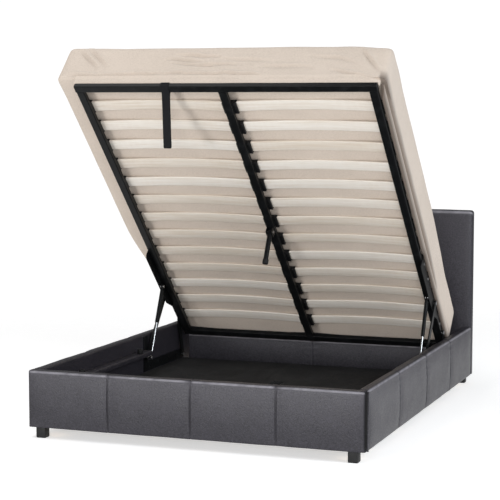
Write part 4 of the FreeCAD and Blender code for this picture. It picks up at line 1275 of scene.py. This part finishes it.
    def foot_hem(self):
        """The slack cover that hangs down to the foot bar and the strap on it."""
        low = (self.FOOT_HEM_LEFT, self.FOOT + self.FOOT_HEM_FRONT, self.FOOT_HEM_LOW)
        high = (self.FOOT_HEM_RIGHT, self.FOOT + self.FOOT_HEM_BACK, self.HEM_TOP)
        roll = self.roll("mattress_foot_hem", low, high, X_AXIS, self.FOOT_HEM_ROUNDS)
        points = points_of(roll)
        hanging = np.clip((self.SEAT - points[:, 2]) / (self.SEAT - self.FOOT_HEM_LOW), 0, 1)
        across = points * (1, 0, 0)
        points[:, 1] += self.FOOT_HEM_SWAY * hanging * (1 + drift(across, 0.13, 4.1))
        points[:, 2] += self.FOOT_HEM_WAVE * hanging * (1 + drift(across, 0.10, 1.9))
        turn = np.clip((points[:, 0] - self.FOOT_HEM_RIGHT) / self.TURN_LENGTH + 1, 0, 1) ** 2
        points[:, 1] += self.FOOT_HEM_TURN * turn
        move_points(roll, points)
        self.settle_hem(roll)

    def shade(self, cover, creases):
        """Paints shade into the creases, and onto the right lower edge where the cover turns under towards
        the tube.
        """
        points = points_of(cover)
        low = np.clip((self.HEM_TOP + 0.028 - points[:, 2]) / 0.05, 0, 1)
        edge = self.EDGE_SHADE * low * np.clip((points[:, 0] - self.EDGE_START) / 0.01, 0, 1)
        mark(cover, "shaded", np.maximum(edge, self.CREASE_SHADE * creases))

    def execute(self, context):
        look = context.scene.bed_mattress
        cover = self.blank(look)
        self.fill(cover, look)
        self.fit(cover)
        apply(cover, "SMOOTH", factor=0.5, iterations=8)
        apply(cover, "SUBSURF", levels=1, render_levels=1)
        creases = self.crease(cover)
        self.hang(cover, look)
        self.shade(cover, creases)
        mark_weave(cover)
        only(cover)
        bpy.ops.object.shade_smooth()
        tip_up(cover)
        settle(cover, "platform", "linen", "mattress")
        self.side_hem()
        self.foot_hem()
        return {"FINISHED"}


class BED_OT_finishes(bpy.types.Operator):
    """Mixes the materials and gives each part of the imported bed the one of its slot"""

    bl_idname = "bed.finishes"
    bl_label = "Finishes"

    def execute(self, context):
        for slot, (paint, steady) in PAINTS.items():
            FINISHES[slot] = finish(slot, paint, context.scene, steady)
        for part in frame["record"]["subparts"]:
            obj = frame["nodes"][part["node"]]
            obj.data.materials.clear()
            obj.data.materials.append(FINISHES[DARKENED.get(part["node"], part["material_slot"])])
        return {"FINISHED"}


class BED_OT_stage(bpy.types.Operator):
    """Sets the camera, the pale floor and the soft studio light"""

    bl_idname = "bed.stage"
    bl_label = "Studio"

    EYE = (2.720, -7.708, 1.586)
    AIM = (84.65, 0.0, 20.19)

    # Each light's size, place, target and tint
    WHITE, COOL = (1, 1, 1), (0.90, 0.95, 1.0)
    LIGHTS = {
        "key": ((2.2, 1.8), (-3.6, -12.4, 0.95), (0, -0.4, 1.0), WHITE),
        "front": ((5.6, 3.8), (3.8, -13.4, 3.2), (0, 0, 0.7), WHITE),
        "fill": ((2.4, 2.4), (5.4, -1.9, 2.6), (0, 0, 0.7), COOL),
        "top": ((4.2, 2.2), (-1.9, -0.9, 5.0), (-0.6, -0.9, 0.3), WHITE),
    }

    def light(self, name, power, size, place, target, tint):
        bpy.ops.object.light_add(type="AREA", location=place)
        lamp = named(name)
        lamp.data.shape = "RECTANGLE"
        lamp.data.size, lamp.data.size_y = size
        lamp.data.energy = power
        lamp.data.color = tint
        lamp.rotation_euler = (Vector(target) - Vector(place)).to_track_quat("-Z", "Y").to_euler()

    def execute(self, context):
        look = context.scene.bed_stage
        turn = [math.radians(angle) for angle in self.AIM]
        bpy.ops.object.camera_add(location=self.EYE, rotation=turn)
        camera = named("photo_camera")
        camera.data.sensor_width = 36
        camera.data.lens = look.lens
        camera.data.clip_end = 200
        context.scene.camera = camera

        bpy.ops.mesh.primitive_plane_add(size=120)
        floor = named("studio_floor")

        steady = {
            "Base Color": (*look.floor, 1),
            "Emission Color": (1, 1, 1, 1),
            "Emission Strength": look.glow,
        }
        floor.data.materials.append(finish("studio_floor", paint_floor, context.scene, steady))

        world = bpy.data.worlds.new("studio")
        world.use_nodes = True
        tree = world.node_tree
        backdrop = tree.nodes["Background"]
        backdrop.inputs["Color"].default_value = (1, 1, 1, 1)
        strength = Wire(tree).node("LightPath") * (look.backdrop - look.sky) + look.sky
        tree.links.new(strength.socket, backdrop.inputs["Strength"])
        context.scene.world = world
        context.scene.view_settings.view_transform = "Standard"
        for name, (size, place, target, tint) in self.LIGHTS.items():
            self.light(f"{name}_light", getattr(look, name), size, place, target, tint)
        return {"FINISHED"}


class BED_PT_panel(bpy.types.Panel):
    """Lists the steps that dress the bed and their settings"""

    bl_idname = "BED_PT_panel"
    bl_label = "Ottoman Bed"
    bl_space_type = "VIEW_3D"
    bl_region_type = "UI"
    bl_category = "Bed"

    def draw(self, context):
        for step in STEPS:
            self.layout.operator(step.bl_idname)
        for name, group in SETTINGS.items():
            box = self.layout.box()
            for field in group.__annotations__:
                box.prop(getattr(context.scene, name), field)


STEPS = (
    BED_OT_stage,
    BED_OT_finishes,
    BED_OT_rails,
    BED_OT_corner_folds,
    BED_OT_headboard,
    BED_OT_divider,
    BED_OT_battens,
    BED_OT_storage_floor,
    BED_OT_feet,
    BED_OT_slats,
    BED_OT_holders,
    BED_OT_bumpers,
    BED_OT_strap,
    BED_OT_mattress,
)


def register():
    for group in (*SETTINGS.values(), *STEPS, BED_PT_panel):
        bpy.utils.register_class(group)
    for name, group in SETTINGS.items():
        setattr(bpy.types.Scene, name, bpy.props.PointerProperty(type=group))


def unregister():
    for name in SETTINGS:
        delattr(bpy.types.Scene, name)
    for group in (BED_PT_panel, *reversed(STEPS), *SETTINGS.values()):
        bpy.utils.unregister_class(group)


def main():
    register()
    bpy.ops.bed.stage()
    bpy.ops.bed.finishes()
    bpy.ops.bed.rails()
    bpy.ops.bed.corner_folds()
    bpy.ops.bed.headboard()
    bpy.ops.bed.divider()
    bpy.ops.bed.battens()
    bpy.ops.bed.storage_floor()
    bpy.ops.bed.feet()
    bpy.ops.bed.slats()
    bpy.ops.bed.holders()
    bpy.ops.bed.bumpers()
    bpy.ops.bed.strap()
    bpy.ops.bed.mattress()


if __name__ == "__main__":
    main()
